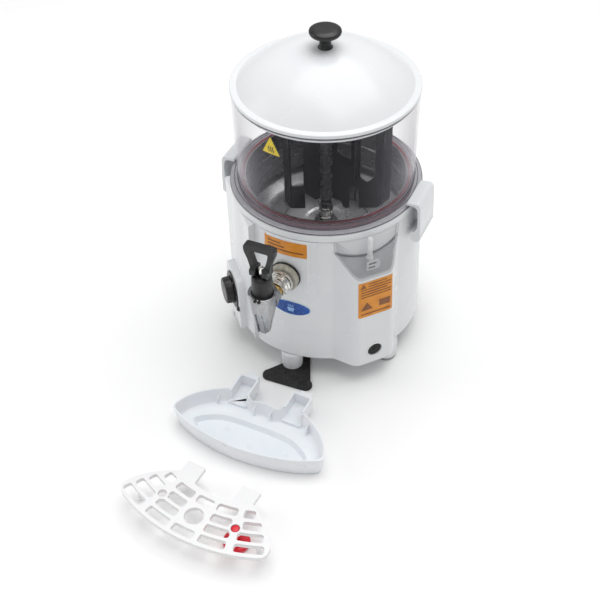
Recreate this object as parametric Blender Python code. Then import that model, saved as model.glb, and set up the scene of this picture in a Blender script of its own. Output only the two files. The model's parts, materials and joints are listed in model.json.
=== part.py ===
"""Five litre hot drink and sauce dispenser with a water jacket, tap, tray, grid and float.

Metres, +Z up.  The machine stands on z = 0 with its tap towards -Y.  The drip tray, the
drip grid and the tray float stand on the same surface in front of it.  The origin is
the bottom centre of the whole set, and AXIS_Y is the machine's own axis in that frame.
"""
import bpy
import bmesh
from math import cos, pi, radians, sin
from mathutils import Matrix, Vector

# ---------------------------------------------------------------- driving dimensions
GAP = 0.0003              # clearance between pieces that touch
AXIS_Y = 0.1609           # machine axis, measured from the middle of the set
FINE = 40                 # facets round a large turned piece
COARSE = 16               # facets round a small turned piece

BODY_LOW = 0.031          # underside of the housing
BODY_TOP = 0.236          # top face of the housing
BODY_RADIUS_TOP = 0.1271  # outer radius at the top
BODY_DRAFT = 0.029        # radius gained per metre going down
WALL = 0.003              # moulded wall

GAUGE_AZ = 48.6           # direction of the water gauge block, from the tap towards +X
GAUGE_FACE = 0.147        # distance of its face from the axis
GAUGE_HALF = 0.0265       # half width of its face
GAUGE_ROOT = 0.047        # half width where it meets the body
GAUGE_SPLIT_FRONT = 0.183  # height of the housing under the clear window, at the face
GAUGE_SPLIT_SLOPE = 1.26  # rise of that edge per metre towards the body

BOSS_AZ = -48.0           # direction of the thermostat boss
BOSS_FACE = 0.1385        # distance of its face
BOSS_HALF = 0.0325        # half width
BOSS_TOP = 0.119          # height of its upper edge
DIAL_Z = 0.083            # thermostat spindle height
DIAL_RADIUS = 0.027

TAP_Z = 0.178             # height of the horizontal tap pipe
TAP_Y = -0.200            # vertical axis of the tap
LEVER_Z = 0.2420          # pivot of the tap lever
LEVER_THICK = 0.009

PAN_FLOOR = 0.168         # underside of the product pan
PAN_RADIUS = 0.1062       # outer radius of its wall
PAN_JOIN = 0.1797         # seam between its pressed floor and its wall
RIM_Z = 0.2363            # underside of the pan rim and of the bezel
BEZEL_RADIUS = 0.1285
BEZEL_TOP = 0.2468
BOWL_FLANGE = 0.1275      # outer radius of the bowl flange
BOWL_TOP = 0.3862
BOWL_WALL = 0.003
LID_RADIUS = 0.1201
LID_FLAT = 0.3915         # top of the lid's flat border
DOME_RADIUS = 0.1115
DOME_RISE = 0.0471
DOME_POWER = 2.32
LID_WALL = 0.0025
KNOB_TOP = 0.465

SHAFT_RADIUS = 0.004
HUB_TOP = 0.205
MIXER_LOW = 0.192         # lower edge of the mixer blades
MIXER_TOP = 0.352
MIXER_TURN = 23.3         # direction of the mixer blade, from the X axis
MIXER_SHORT = 0.056       # reach of the short blade
MIXER_LONG = 0.086        # reach of the long blade

CLIP_HALF = 0.027         # half width of a side clip
CLIP_PIN_X = 0.1372
CLIP_PIN_Z = 0.2025

LEG_RADIUS = 0.0155
LEG_LOW = 0.0043
PAD_HEIGHT = 0.0040
LEG_CIRCLE = 0.124
FRONT_LEG_Y = -0.122

TRAY_PLACE = (0.0084, -0.2207)   # middle of the tray's rear edge
TRAY_TURN = -1.6
TRAY_HEIGHT = 0.031
TRAY_WALL = 0.0026
TRAY_FRONT = 0.0912       # depth of the tray in front of that point
TRAY_TIP = 0.1097         # half width
ARM_IN = 0.0257           # inner side of an arm
ARM_OUT = 0.0542
ARM_REACH = 0.0275

GRID_PLACE = (0.0121, -0.3805)
GRID_TURN = -5.8
GRID_TOP = 0.031
GRID_THICK = 0.006
GRID_CENTRE = 0.1555      # centre of the concentric slots, behind that point
GRID_RADIUS = 0.2356      # outer arc
GRID_ROWS = (0.2249, 0.2087, 0.1926, 0.1760)
GRID_SLOT = 0.0118        # width of a slot
GRID_HOLE = (0.0532, -0.0358)
GRID_BOSS = 0.0086        # radius of the ring round each small hole
FLOAT_STEM = 0.0052

# ------------------------------------------------------------------------- clean scene
for old in list(bpy.data.objects):
    bpy.data.objects.remove(old, do_unlink=True)

machine_axis = bpy.data.objects.new("machine_axis", None)
bpy.context.scene.collection.objects.link(machine_axis)
machine_axis.location = (0.0, AXIS_Y, 0.0)


# --------------------------------------------------------------------------- materials
def material(name, colour, roughness, metallic=0.0, alpha=1.0):
    """Principled material with the part's plain colour and finish."""
    made = bpy.data.materials.new(name)
    made.use_nodes = True
    shader = made.node_tree.nodes["Principled BSDF"]
    shader.inputs["Base Color"].default_value = (*colour, 1.0)
    shader.inputs["Roughness"].default_value = roughness
    shader.inputs["Metallic"].default_value = metallic
    shader.inputs["Alpha"].default_value = alpha
    return made


WHITE = material("white_plastic", (0.86, 0.87, 0.88), 0.28)
BLACK = material("black_plastic", (0.018, 0.018, 0.020), 0.35)
RUBBER = material("black_rubber", (0.02, 0.02, 0.02), 0.75)
RED_RUBBER = material("red_rubber", (0.42, 0.02, 0.03), 0.5)
RED = material("red_plastic", (0.62, 0.02, 0.03), 0.35)
CLEAR = material("clear_plastic", (0.95, 0.96, 0.97), 0.05, 0.0, 0.25)
STEEL = material("brushed_steel", (0.62, 0.63, 0.64), 0.3, 1.0)
CHROME = material("chrome", (0.83, 0.84, 0.85), 0.08, 1.0)
BRASS = material("brass", (0.70, 0.52, 0.25), 0.3, 1.0)
ALUMINIUM = material("aluminium", (0.70, 0.71, 0.72), 0.35, 1.0)


# ---------------------------------------------------------------------------- builders
def finish(bm, name, finish_material=WHITE, pivot=(0.0, 0.0, 0.0), smooth=35.0):
    """Turn a bmesh in machine coordinates into a named object with its origin at pivot."""
    bmesh.ops.recalc_face_normals(bm, faces=bm.faces)
    if bm.calc_volume(signed=True) < 0.0:
        bmesh.ops.reverse_faces(bm, faces=bm.faces)
    bmesh.ops.translate(bm, verts=bm.verts, vec=-Vector(pivot))
    mesh = bpy.data.meshes.new(name)
    bm.to_mesh(mesh)
    bm.free()
    mesh.materials.append(finish_material)
    mesh.shade_smooth()
    mesh.set_sharp_from_angle(angle=radians(smooth))
    made = bpy.data.objects.new(name, mesh)
    bpy.context.scene.collection.objects.link(made)
    made.parent = machine_axis
    made.location = pivot
    return made


def turned(profile, sides=FINE, start=0.0, sweep=360.0):
    """Closed outline of (radius, height) points turned about Z; zero radius closes it."""
    bm = bmesh.new()
    whole = sweep > 359.9
    steps = sides if whole else max(2, round(sides * sweep / 360.0))
    columns = []
    poles = {}
    for step in range(steps if whole else steps + 1):
        angle = radians(start + sweep * step / steps)
        column = []
        for index, (radius, height) in enumerate(profile):
            if radius < 1e-7:
                if index not in poles:
                    poles[index] = bm.verts.new((0.0, 0.0, height))
                column.append(poles[index])
            else:
                column.append(bm.verts.new((radius * cos(angle), radius * sin(angle), height)))
        columns.append(column)
    count = len(profile)
    for step in range(steps):
        here = columns[step]
        there = columns[(step + 1) % len(columns)]
        for index in range(count):
            nxt = (index + 1) % count
            loop = []
            for vert in (here[index], here[nxt], there[nxt], there[index]):
                if vert not in loop:
                    loop.append(vert)
            if len(loop) > 2:
                bm.faces.new(loop)
    if not whole:
        bm.faces.new(columns[0])
        bm.faces.new(columns[-1])
    return bm


def loft(sections):
    """Closed solid through outlines of equal point count, capped at both ends."""
    bm = bmesh.new()
    rings = [[bm.verts.new(point) for point in section] for section in sections]
    count = len(rings[0])
    for low, high in zip(rings, rings[1:]):
        for index in range(count):
            nxt = (index + 1) % count
            bm.faces.new((low[index], low[nxt], high[nxt], high[index]))
    bm.faces.new(rings[0])
    bm.faces.new(rings[-1])
    return bm


def prism(outline, low, high):
    """Flat outline of (x, y) points raised from low to high."""
    return loft([[(x, y, height) for x, y in outline] for height in (low, high)])


def box(low, high):
    """Box between two corners."""
    outline = [(low[0], low[1]), (high[0], low[1]), (high[0], high[1]), (low[0], high[1])]
    return prism(outline, low[2], high[2])


def rod(radius, low, high, sides=COARSE, x=0.0, y=0.0):
    """Upright cylinder."""
    bm = turned([(0.0, low), (radius, low), (radius, high), (0.0, high)], sides)
    bmesh.ops.translate(bm, verts=bm.verts, vec=(x, y, 0.0))
    return bm


def move(bm, matrix):
    """Transform a bmesh and return it."""
    bmesh.ops.transform(bm, matrix=matrix, verts=bm.verts)
    return bm


def facing(azimuth, distance=0.0, height=0.0):
    """Frame on the body: Z points outwards, X runs sideways to the right, Y up."""
    angle = radians(azimuth)
    outward = Vector((sin(angle), -cos(angle), 0.0))
    sideways = Vector((cos(angle), sin(angle), 0.0))
    frame = Matrix((sideways, Vector((0.0, 0.0, 1.0)), outward)).transposed().to_4x4()
    frame.translation = outward * distance + Vector((0.0, 0.0, height))
    return frame


def radial(azimuth):
    """Frame with Z up, X sideways and -Y pointing outwards at an azimuth."""
    return Matrix.Rotation(radians(azimuth), 4, "Z")


def combine(target, other, operation):
    """Boolean two objects, or an object and a bmesh, and keep the result on the first."""
    if isinstance(other, bmesh.types.BMesh):
        other = finish(other, "tool_shape")
    modifier = target.modifiers.new("combine", "BOOLEAN")
    modifier.operation = operation
    modifier.solver = "EXACT"
    modifier.object = other
    bpy.context.view_layer.update()
    evaluated = target.evaluated_get(bpy.context.evaluated_depsgraph_get())
    result = bpy.data.meshes.new_from_object(evaluated)
    tidy = bmesh.new()
    tidy.from_mesh(result)
    bmesh.ops.remove_doubles(tidy, verts=tidy.verts, dist=0.000004)
    bmesh.ops.dissolve_degenerate(tidy, edges=tidy.edges, dist=0.000004)
    tidy.to_mesh(result)
    tidy.free()
    target.modifiers.clear()
    target.data = result
    result.shade_smooth()
    result.set_sharp_from_angle(angle=radians(35.0))
    bpy.data.objects.remove(other, do_unlink=True)
    return target


def add(target, *shapes):
    """Union shapes into a target."""
    for shape in shapes:
        combine(target, shape, "UNION")
    return target


def cut(target, *shapes):
    """Cut shapes out of a target."""
    for shape in shapes:
        combine(target, shape, "DIFFERENCE")
    return target


def arc(centre, radius, start, end, steps):
    """Points on an arc, angles in degrees from +X."""
    points = []
    for step in range(steps + 1):
        angle = radians(start + (end - start) * step / steps)
        points.append((centre[0] + radius * cos(angle), centre[1] + radius * sin(angle)))
    return points


def bow(first, middle, last, steps):
    """Points on the smooth curve that passes through three points."""
    points = []
    for step in range(steps + 1):
        t = step / steps
        a = 2.0 * (t - 0.5) * (t - 1.0)
        b = 4.0 * t * (1.0 - t)
        c = 2.0 * t * (t - 0.5)
        points.append(tuple(a * p + b * q + c * r for p, q, r in zip(first, middle, last)))
    return points


def inset(outline, distance):
    """Move an anticlockwise outline inwards by a distance."""
    moved = []
    count = len(outline)
    for index, point in enumerate(outline):
        before = Vector(outline[index - 1])
        here = Vector(point)
        after = Vector(outline[(index + 1) % count])
        first = (here - before).normalized()
        second = (after - here).normalized()
        normal = Vector((-first.y - second.y, first.x + second.x)).normalized()
        scale = max(0.5, normal.dot(Vector((-first.y, first.x))))
        moved.append(tuple(here + normal * distance / scale))
    return moved


def swept(path, radius, sides=10):
    """Round bar along a list of points."""
    bm = bmesh.new()
    rings = []
    normal = Vector((0.0, 0.0, 1.0))
    points = [Vector(point) for point in path]
    for index, point in enumerate(points):
        ahead = points[min(index + 1, len(points) - 1)] - points[max(index - 1, 0)]
        ahead.normalize()
        side = ahead.cross(normal)
        if side.length < 1e-4:
            side = ahead.cross(Vector((1.0, 0.0, 0.0)))
        side.normalize()
        normal = side.cross(ahead).normalized()
        ring = []
        for step in range(sides):
            angle = 2.0 * pi * step / sides
            ring.append(bm.verts.new(point + radius * (side * cos(angle) + normal * sin(angle))))
        rings.append(ring)
    for low, high in zip(rings, rings[1:]):
        for index in range(sides):
            nxt = (index + 1) % sides
            bm.faces.new((low[index], low[nxt], high[nxt], high[index]))
    bm.faces.new(rings[0])
    bm.faces.new(rings[-1])
    return bm


def body_radius(height):
    """Outer radius of the housing at a height."""
    return BODY_RADIUS_TOP + BODY_DRAFT * (BODY_TOP + 0.004 - height)


# ------------------------------------------------------------------------ main housing
def gauge_outline(shrink=0.0, grow=0.0):
    """Plan of the water gauge block in its radial frame, -Y outwards."""
    face = GAUGE_FACE - shrink + grow
    half = GAUGE_HALF - shrink + 0.3 * grow
    root = GAUGE_ROOT - shrink + grow
    corner = 0.008
    outline = [(-root, -0.080), (-root, -0.112)]
    outline += bow((-half - 0.006, -face + corner), (-half - 0.001, -face + 0.0015),
                   (-half + corner, -face), 4)
    outline += bow((half - corner, -face), (half + 0.001, -face + 0.0015),
                   (half + 0.006, -face + corner), 4)
    outline += [(root, -0.112), (root, -0.080)]
    return outline


def gauge_block(low, high, shrink=0.0):
    """Gauge block between two heights, wider towards the foot."""
    top = gauge_outline(shrink, BODY_DRAFT * (BODY_TOP - high))
    bottom = gauge_outline(shrink, BODY_DRAFT * (BODY_TOP - low))
    sections = [[(x, y, low) for x, y in bottom], [(x, y, high) for x, y in top]]
    return move(loft(sections), radial(GAUGE_AZ))


def gauge_wedge(offset):
    """Everything above the sloping edge where the housing block gives way to the window."""
    face = 0.170
    front = GAUGE_SPLIT_FRONT + offset - (face - GAUGE_FACE) * GAUGE_SPLIT_SLOPE
    back = front + (face - 0.070) * GAUGE_SPLIT_SLOPE
    sections = []
    for side in (-0.070, 0.070):
        sections.append([(side, -face, front), (side, -0.070, back),
                         (side, -0.070, 0.300), (side, -face, 0.300)])
    return move(loft(sections), radial(GAUGE_AZ))


def boss_block(shrink=0.0, low=BODY_LOW):
    """Thermostat boss, with rounded upper corners."""
    half = BOSS_HALF - shrink
    top = BOSS_TOP - shrink
    corner = 0.014
    outline = [(-half, low), (half, low)]
    outline += arc((half - corner, top - corner), corner, 0.0, 90.0, 5)
    outline += arc((-half + corner, top - corner), corner, 90.0, 180.0, 5)
    bm = prism(outline, 0.085, BOSS_FACE - shrink)
    return move(bm, facing(BOSS_AZ))


def pad(half_angle, low, proud):
    """Raised panel on the body behind the tap."""
    top = BODY_TOP - 0.0005
    profile = [(0.120, low), (body_radius(low) + proud, low),
               (body_radius(top) + proud, top), (0.120, top)]
    return turned(profile, FINE, -90.0 - half_angle, 2.0 * half_angle)


def make_housing():
    edge = 0.0020
    outer = [(0.0, BODY_LOW), (body_radius(BODY_LOW) - edge, BODY_LOW),
             (body_radius(BODY_LOW) - 0.3 * edge, BODY_LOW + 0.3 * edge),
             (body_radius(BODY_LOW + edge), BODY_LOW + edge),
             (body_radius(BODY_TOP), BODY_TOP), (0.0, BODY_TOP)]
    housing = finish(turned(outer), "base_housing")
    block = finish(gauge_block(BODY_LOW, 0.230), "tool_block")
    cut(block, gauge_wedge(0.0))
    add(housing, block, boss_block(), pad(18.5, 0.141, 0.0015), pad(13.1, 0.148, 0.003))
    # flat pad for the power inlet and an ear for each side clip
    add(housing, box((-0.021, 0.100, 0.044), (0.021, 0.1348, 0.082)))
    for side in (-1.0, 1.0):
        ear = move(rod(0.0042, -0.008, 0.008, 16), Matrix.Rotation(radians(90.0), 4, "X"))
        move(ear, Matrix.Translation((side * CLIP_PIN_X, 0.0, CLIP_PIN_Z)))
        low = min(side * 0.1265, side * CLIP_PIN_X)
        high = max(side * 0.1265, side * CLIP_PIN_X)
        add(housing, box((low, -0.0078, CLIP_PIN_Z - 0.004), (high, 0.0078, CLIP_PIN_Z + 0.004)),
            ear)
        bore = move(rod(0.0022, -0.012, 0.012, 16), Matrix.Rotation(radians(90.0), 4, "X"))
        cut(housing, move(bore, Matrix.Translation((side * CLIP_PIN_X, 0.0, CLIP_PIN_Z))))
    # hollow inside, open at the foot and at the top
    inner = [(0.0, 0.020), (body_radius(0.020) - WALL, 0.020),
             (body_radius(BODY_TOP - WALL) - WALL, BODY_TOP - WALL), (0.0, BODY_TOP - WALL)]
    hollow = finish(turned(inner), "tool_hollow")
    block = finish(gauge_block(0.020, 0.228, WALL), "tool_inner_block")
    cut(block, gauge_wedge(-1.6 * WALL))
    add(hollow, block, boss_block(WALL, 0.020), box((-0.018, 0.100, 0.020), (0.018, 0.1318, 0.079)))
    cut(housing, hollow, rod(0.1180, 0.200, 0.250, FINE))
    # openings for the tap pipe, the thermostat, the drain and the inlet
    cut(housing, move(rod(0.0106, 0.100, 0.150), facing(0.0, 0.0, TAP_Z)))
    cut(housing, move(rod(0.0036, 0.100, 0.150, 12), facing(BOSS_AZ, 0.0, DIAL_Z)))
    cut(housing, move(rod(0.0112, 0.130, 0.170), facing(GAUGE_AZ, 0.0, 0.0555)))
    cut(housing, box((-0.0143, 0.100, 0.0517), (0.0143, 0.150, 0.0743)))
    return housing


def make_base_plate():
    plate = finish(rod(body_radius(BODY_LOW) - WALL - 0.0012, BODY_LOW, BODY_LOW + 0.002, FINE),
                   "base_plate", ALUMINIUM)
    for row in range(5):
        x = 0.012 * (row - 2)
        cut(plate, box((x - 0.0025, -0.060, 0.020), (x + 0.0025, -0.030, 0.040)))
    return plate


# --------------------------------------------------------------- pan, jacket and drive
def make_pan():
    inside = PAN_RADIUS - 0.0012
    low = PAN_FLOOR
    wall = [(PAN_RADIUS, PAN_JOIN + GAP), (PAN_RADIUS, RIM_Z), (0.1160, RIM_Z),
            (0.1160, RIM_Z + 0.002), (inside, RIM_Z + 0.002), (inside, PAN_JOIN + GAP)]
    side = finish(turned(wall), "pan_wall", STEEL)
    profile = [(0.0048, low), (PAN_RADIUS - 0.010, low), (PAN_RADIUS - 0.003, low + 0.003),
               (PAN_RADIUS, low + 0.010), (PAN_RADIUS, PAN_JOIN), (inside, PAN_JOIN),
               (inside, low + 0.0105),
               (inside - 0.003, low + 0.0042), (inside - 0.0098, low + 0.0014),
               (0.014, low + 0.0014), (0.0095, low + 0.006), (0.0085, low + 0.012),
               (0.0085, HUB_TOP), (0.0048, HUB_TOP)]
    pan = finish(turned(profile), "product_pan", STEEL)
    for piece in (pan, side):
        cut(piece, move(rod(0.0068, 0.090, 0.112, 20), facing(0.0, 0.0, TAP_Z + 0.002)))


def make_jacket():
    wall = 0.0012
    rim = 0.1172
    profile = [(0.0100, 0.110), (rim, 0.110), (rim, 0.2352), (rim - wall, 0.2352),
               (rim - wall, 0.110 + wall), (0.0100 + wall, 0.110 + wall),
               (0.0100 + wall, PAN_FLOOR - 0.001), (0.0100, PAN_FLOOR - 0.001)]
    tank = finish(turned(profile), "water_bath", STEEL)
    cut(tank, move(rod(0.0106, 0.100, 0.125), facing(0.0, 0.0, TAP_Z)))
    return tank


def make_ring(name, centre_radius, tube_radius, height, sides=28):
    """Heating ring: a plain torus."""
    profile = []
    for step in range(8):
        angle = 2.0 * pi * step / 8
        profile.append((centre_radius + tube_radius * cos(angle),
                        height + tube_radius * sin(angle)))
    return finish(turned(profile, sides), name, CHROME)


def make_drive():
    finish(rod(0.030, 0.0560, 0.0875, 24), "motor", STEEL)
    finish(box((-0.036, -0.028, 0.0878), (0.036, 0.028, 0.1060)), "gearbox", ALUMINIUM)
    bracket = finish(box((-0.046, -0.022, 0.0542), (0.046, 0.022, 0.0557)), "motor_bracket", STEEL)
    for side in (-1.0, 1.0):
        low = min(side * 0.0445, side * 0.046)
        high = max(side * 0.0445, side * 0.046)
        add(bracket, box((low, -0.0215, BODY_LOW + 0.0024), (high, 0.0215, 0.0550)))
    shaft = [(0.0, 0.1064), (SHAFT_RADIUS, 0.1064), (SHAFT_RADIUS, MIXER_TOP - 0.003),
             (0.0, MIXER_TOP - 0.003)]
    finish(turned(shaft, 12), "drive_shaft", STEEL, (0.0, 0.0, 0.1064))
    seal = [(0.0046, HUB_TOP + GAP), (0.0080, HUB_TOP + GAP), (0.0072, HUB_TOP + 0.004),
            (0.0046, HUB_TOP + 0.004)]
    finish(turned(seal, COARSE), "shaft_seal", RUBBER)


def make_mixer():
    """Upright flat blade with windows on a central tube."""
    tube = [(SHAFT_RADIUS + 0.0004, HUB_TOP + 0.005), (0.0085, HUB_TOP + 0.005),
            (0.0085, MIXER_TOP), (SHAFT_RADIUS + 0.0004, MIXER_TOP)]
    mixer = finish(turned(tube, COARSE), "agitator", BLACK, (0.0, 0.0, HUB_TOP))
    mixer_turn = Matrix.Rotation(radians(MIXER_TURN), 4, "Z")
    half = 0.0016
    blades = ((-MIXER_SHORT, -0.0065), (0.0065, MIXER_LONG))
    for low, high in blades:
        add(mixer, move(box((low, -half, MIXER_LOW), (high, half, MIXER_TOP - 0.004)), mixer_turn))
    windows = ((-0.046, -0.031, 0.228, 0.330), (0.046, 0.065, 0.232, 0.330),
               (0.016, 0.033, 0.262, 0.330), (-0.027, -0.011, 0.186, 0.206),
               (0.011, 0.024, 0.186, 0.200), (0.0312, 0.0445, 0.186, 0.222))
    for low, high, bottom, top in windows:
        cut(mixer, move(box((low, -0.01, bottom), (high, 0.01, top)), mixer_turn))
    cut(mixer, rod(0.0096, 0.180, HUB_TOP + 0.0045))
    # fins stand across the blade
    for place, reach in ((-0.050, 0.016), (0.039, 0.018), (0.076, 0.016)):
        fin = box((place - half, -reach, 0.206), (place + half, reach, 0.338))
        add(mixer, move(fin, mixer_turn))
    cap = [(0.0, MIXER_TOP + GAP), (0.0085, MIXER_TOP + GAP), (0.0070, MIXER_TOP + 0.005),
           (0.0, MIXER_TOP + 0.007)]
    finish(turned(cap, COARSE), "agitator_cap", BLACK, (0.0, 0.0, HUB_TOP))


def make_controls():
    """Thermostat, its dial and knob, the pilot lamp and the wiring pieces inside."""
    finish(move(rod(0.013, BOSS_FACE - 0.0325, BOSS_FACE - WALL - GAP), facing(BOSS_AZ, 0.0, DIAL_Z)),
           "thermostat_body", BLACK)
    plate = [(0.0036, BOSS_FACE + GAP), (DIAL_RADIUS, BOSS_FACE + GAP),
             (DIAL_RADIUS - 0.0008, BOSS_FACE + 0.0018), (0.0036, BOSS_FACE + 0.0018)]
    finish(move(turned(plate, 28), facing(BOSS_AZ, 0.0, DIAL_Z)), "dial_plate", BLACK)
    base = BOSS_FACE + 0.0021
    knob = [(0.0, base - 0.004), (0.0030, base - 0.004), (0.0030, base), (0.0195, base),
            (0.0195, base + 0.003), (0.0185, base + 0.0105), (0.0172, base + 0.0115),
            (0.0, base + 0.0115)]
    place = facing(BOSS_AZ, 0.0, DIAL_Z)
    knob = finish(move(turned(knob, 24), place), "thermostat_knob", BLACK,
                  facing(BOSS_AZ, base, DIAL_Z).translation)
    cut(knob, move(box((-0.0012, 0.006, base + 0.0105), (0.0012, 0.016, base + 0.020)), place))
    lamp = [(0.0, BOSS_FACE + GAP), (0.0036, BOSS_FACE + GAP), (0.0036, BOSS_FACE + 0.0015),
            (0.0020, BOSS_FACE + 0.0028), (0.0, BOSS_FACE + 0.0030)]
    lamp = turned(lamp, 16)
    bmesh.ops.translate(lamp, verts=lamp.verts, vec=(0.0280, -0.014, 0.0))
    finish(move(lamp, place), "pilot_lamp", BLACK)
    finish(rod(0.008, 0.0950, 0.1097, 20, 0.055, 0.045), "overheat_cutout", CHROME)
    finish(box((-0.060, 0.062, BODY_LOW + 0.0024), (-0.020, 0.080, 0.048)), "terminal_block", BLACK)
    inlet = finish(box((-0.0140, 0.110, 0.0520), (0.0140, 0.1370, 0.0740)), "power_inlet", BLACK)
    add(inlet, box((-0.0200, 0.1351, 0.0460), (0.0200, 0.1376, 0.0800)))
    cut(inlet, box((-0.0115, 0.120, 0.0545), (0.0115, 0.150, 0.0715)))
    for x, z in ((-0.006, 0.061), (0.0, 0.065), (0.006, 0.061)):
        add(inlet, box((x - 0.001, 0.118, z - 0.002), (x + 0.001, 0.134, z + 0.002)))


# -------------------------------------------------------------------- gauge and drain
def make_gauge():
    outer = finish(gauge_block(0.150, 0.2300), "gauge_window", CLEAR)
    combine(outer, gauge_wedge(GAP * 1.7), "INTERSECT")
    inside = finish(gauge_block(0.140, 0.2600, 0.0022), "tool_inside")
    combine(inside, gauge_wedge(0.0040), "INTERSECT")
    cut(outer, inside)
    clear = [(0.0, 0.100), (body_radius(0.100) + GAP, 0.100), (body_radius(0.300) + GAP, 0.300),
             (0.0, 0.300)]
    cut(outer, turned(clear))
    face = facing(GAUGE_AZ, 0.0, 0.0)
    finish(move(box((-0.0110, 0.1945, 0.1432), (0.0076, 0.2090, 0.1442)), face), "level_plate", WHITE)
    stem = [(0.0, 0.2095), (0.0045, 0.2095), (0.0045, 0.2130), (0.0030, 0.2140),
            (0.0030, 0.2450), (0.0, 0.2460)]
    stem = turned(stem, 16)
    spot = facing(GAUGE_AZ, 0.1385).translation - facing(GAUGE_AZ).to_3x3().col[0] * 0.0045
    bmesh.ops.translate(stem, verts=stem.verts, vec=spot)
    finish(stem, "gauge_float", WHITE, (spot.x, spot.y, 0.2095))


def make_drain():
    face = facing(GAUGE_AZ, 0.0, 0.0555)
    spigot = [(0.0079, 0.120), (0.0108, 0.120), (0.0108, 0.1495), (0.0079, 0.1495)]
    finish(move(turned(spigot, COARSE), face), "drain_spigot", BRASS)
    plug = [(0.0, 0.138), (0.0074, 0.138), (0.0074, 0.1480), (0.0030, 0.1490),
            (0.0030, 0.1525), (0.0, 0.1525)]
    finish(move(turned(plug, COARSE), face), "drain_plug", RUBBER,
           facing(GAUGE_AZ, 0.138, 0.0555).translation)
    start = facing(GAUGE_AZ, 0.1195, 0.0555).translation
    bend = facing(GAUGE_AZ, 0.100, 0.0555).translation
    end = Vector((bend.x, bend.y, 0.1095))
    path = [start, start.lerp(bend, 0.5), bend.lerp(start, 0.15) + Vector((0, 0, 0.0015)),
            bend + Vector((0, 0, 0.006)), bend.lerp(end, 0.5), end]
    finish(swept(path, 0.0055), "drain_hose", RED_RUBBER)


# ------------------------------------------------------------------------------- tap
def make_tap():
    front = facing(0.0, 0.0, TAP_Z)
    washer = [(0.0104, 0.1322), (0.0205, 0.1322), (0.0205, 0.1345), (0.0190, 0.1352),
              (0.0104, 0.1352)]
    finish(move(turned(washer, 24), front), "tap_gasket", RUBBER)
    nut = [(0.0104, 0.1355), (0.0196, 0.1355), (0.0196, 0.1438), (0.0162, 0.1442),
           (0.0162, 0.1500), (0.0150, 0.1505), (0.0150, 0.1560), (0.0135, 0.1565),
           (0.0135, 0.1650), (0.0104, 0.1650)]
    finish(move(turned(nut, 24), front), "tap_nut", CHROME)
    pipe = [(0.0060, PAN_RADIUS + GAP), (0.0100, PAN_RADIUS + GAP), (0.0100, 0.1697),
            (0.0060, 0.1697)]
    finish(move(turned(pipe, COARSE), front), "tap_pipe", CHROME)

    shift = Matrix.Translation((0.0, TAP_Y, 0.0))
    outer = [(0.0, 0.1405), (0.0078, 0.1405), (0.0083, 0.1415), (0.0150, 0.1700),
             (0.0163, 0.1835), (0.0165, 0.1990), (0.0188, 0.2005), (0.0188, 0.2050),
             (0.0182, 0.2060), (0.0, 0.2060)]
    body = finish(move(turned(outer, 24), shift), "tap_body", CHROME)
    add(body, move(rod(0.0118, 0.1700, 0.1930), front))
    inner = [(0.0, 0.130), (0.0062, 0.130), (0.0062, 0.1470), (0.0090, 0.1500),
             (0.0125, 0.1800), (0.0125, 0.1980), (0.0139, 0.1990), (0.0139, 0.2100), (0.0, 0.2100)]
    cut(body, move(turned(inner, 20), shift))
    cut(body, move(rod(0.0060, 0.1600, 0.1920, 16), front))

    bonnet = [(0.0052, 0.2305), (0.0100, 0.2290), (0.0104, 0.1994), (0.0135, 0.1994),
              (0.0135, 0.2315), (0.0122, 0.2332), (0.0052, 0.2332)]
    finish(move(turned(bonnet, 20), shift), "tap_bonnet", BLACK)

    stem = [(0.0, 0.1515), (0.0035, 0.1515), (0.0035, 0.1600), (0.0040, 0.1610),
            (0.0040, 0.2100), (0.0092, 0.2105), (0.0092, 0.2125), (0.0044, 0.2130),
            (0.0044, 0.2438), (0.0034, 0.2452), (0.0, 0.2455)]
    stem = finish(move(turned(stem, 14), shift), "tap_plunger", CHROME, (0.0, TAP_Y, 0.1515))
    across = Matrix.Translation((0.0, TAP_Y, LEVER_Z)) @ Matrix.Rotation(radians(90.0), 4, "Y")
    cut(stem, move(rod(0.0017, -0.020, 0.020, 12), across))
    seat = [(0.0, 0.1487), (0.0060, 0.1487), (0.0070, 0.1512), (0.0, 0.1512)]
    finish(move(turned(seat, 14), shift), "tap_seal", RUBBER, (0.0, TAP_Y, 0.1515))

    turns = 5
    steps = 10
    path = []
    for step in range(turns * steps + 1):
        angle = 2.0 * pi * step / steps
        height = 0.2142 + 0.0128 * step / (turns * steps)
        path.append((0.0080 * cos(angle), TAP_Y + 0.0080 * sin(angle), height))
    finish(swept(path, 0.0007, 5), "tap_spring", STEEL)
    make_lever(across)


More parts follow.
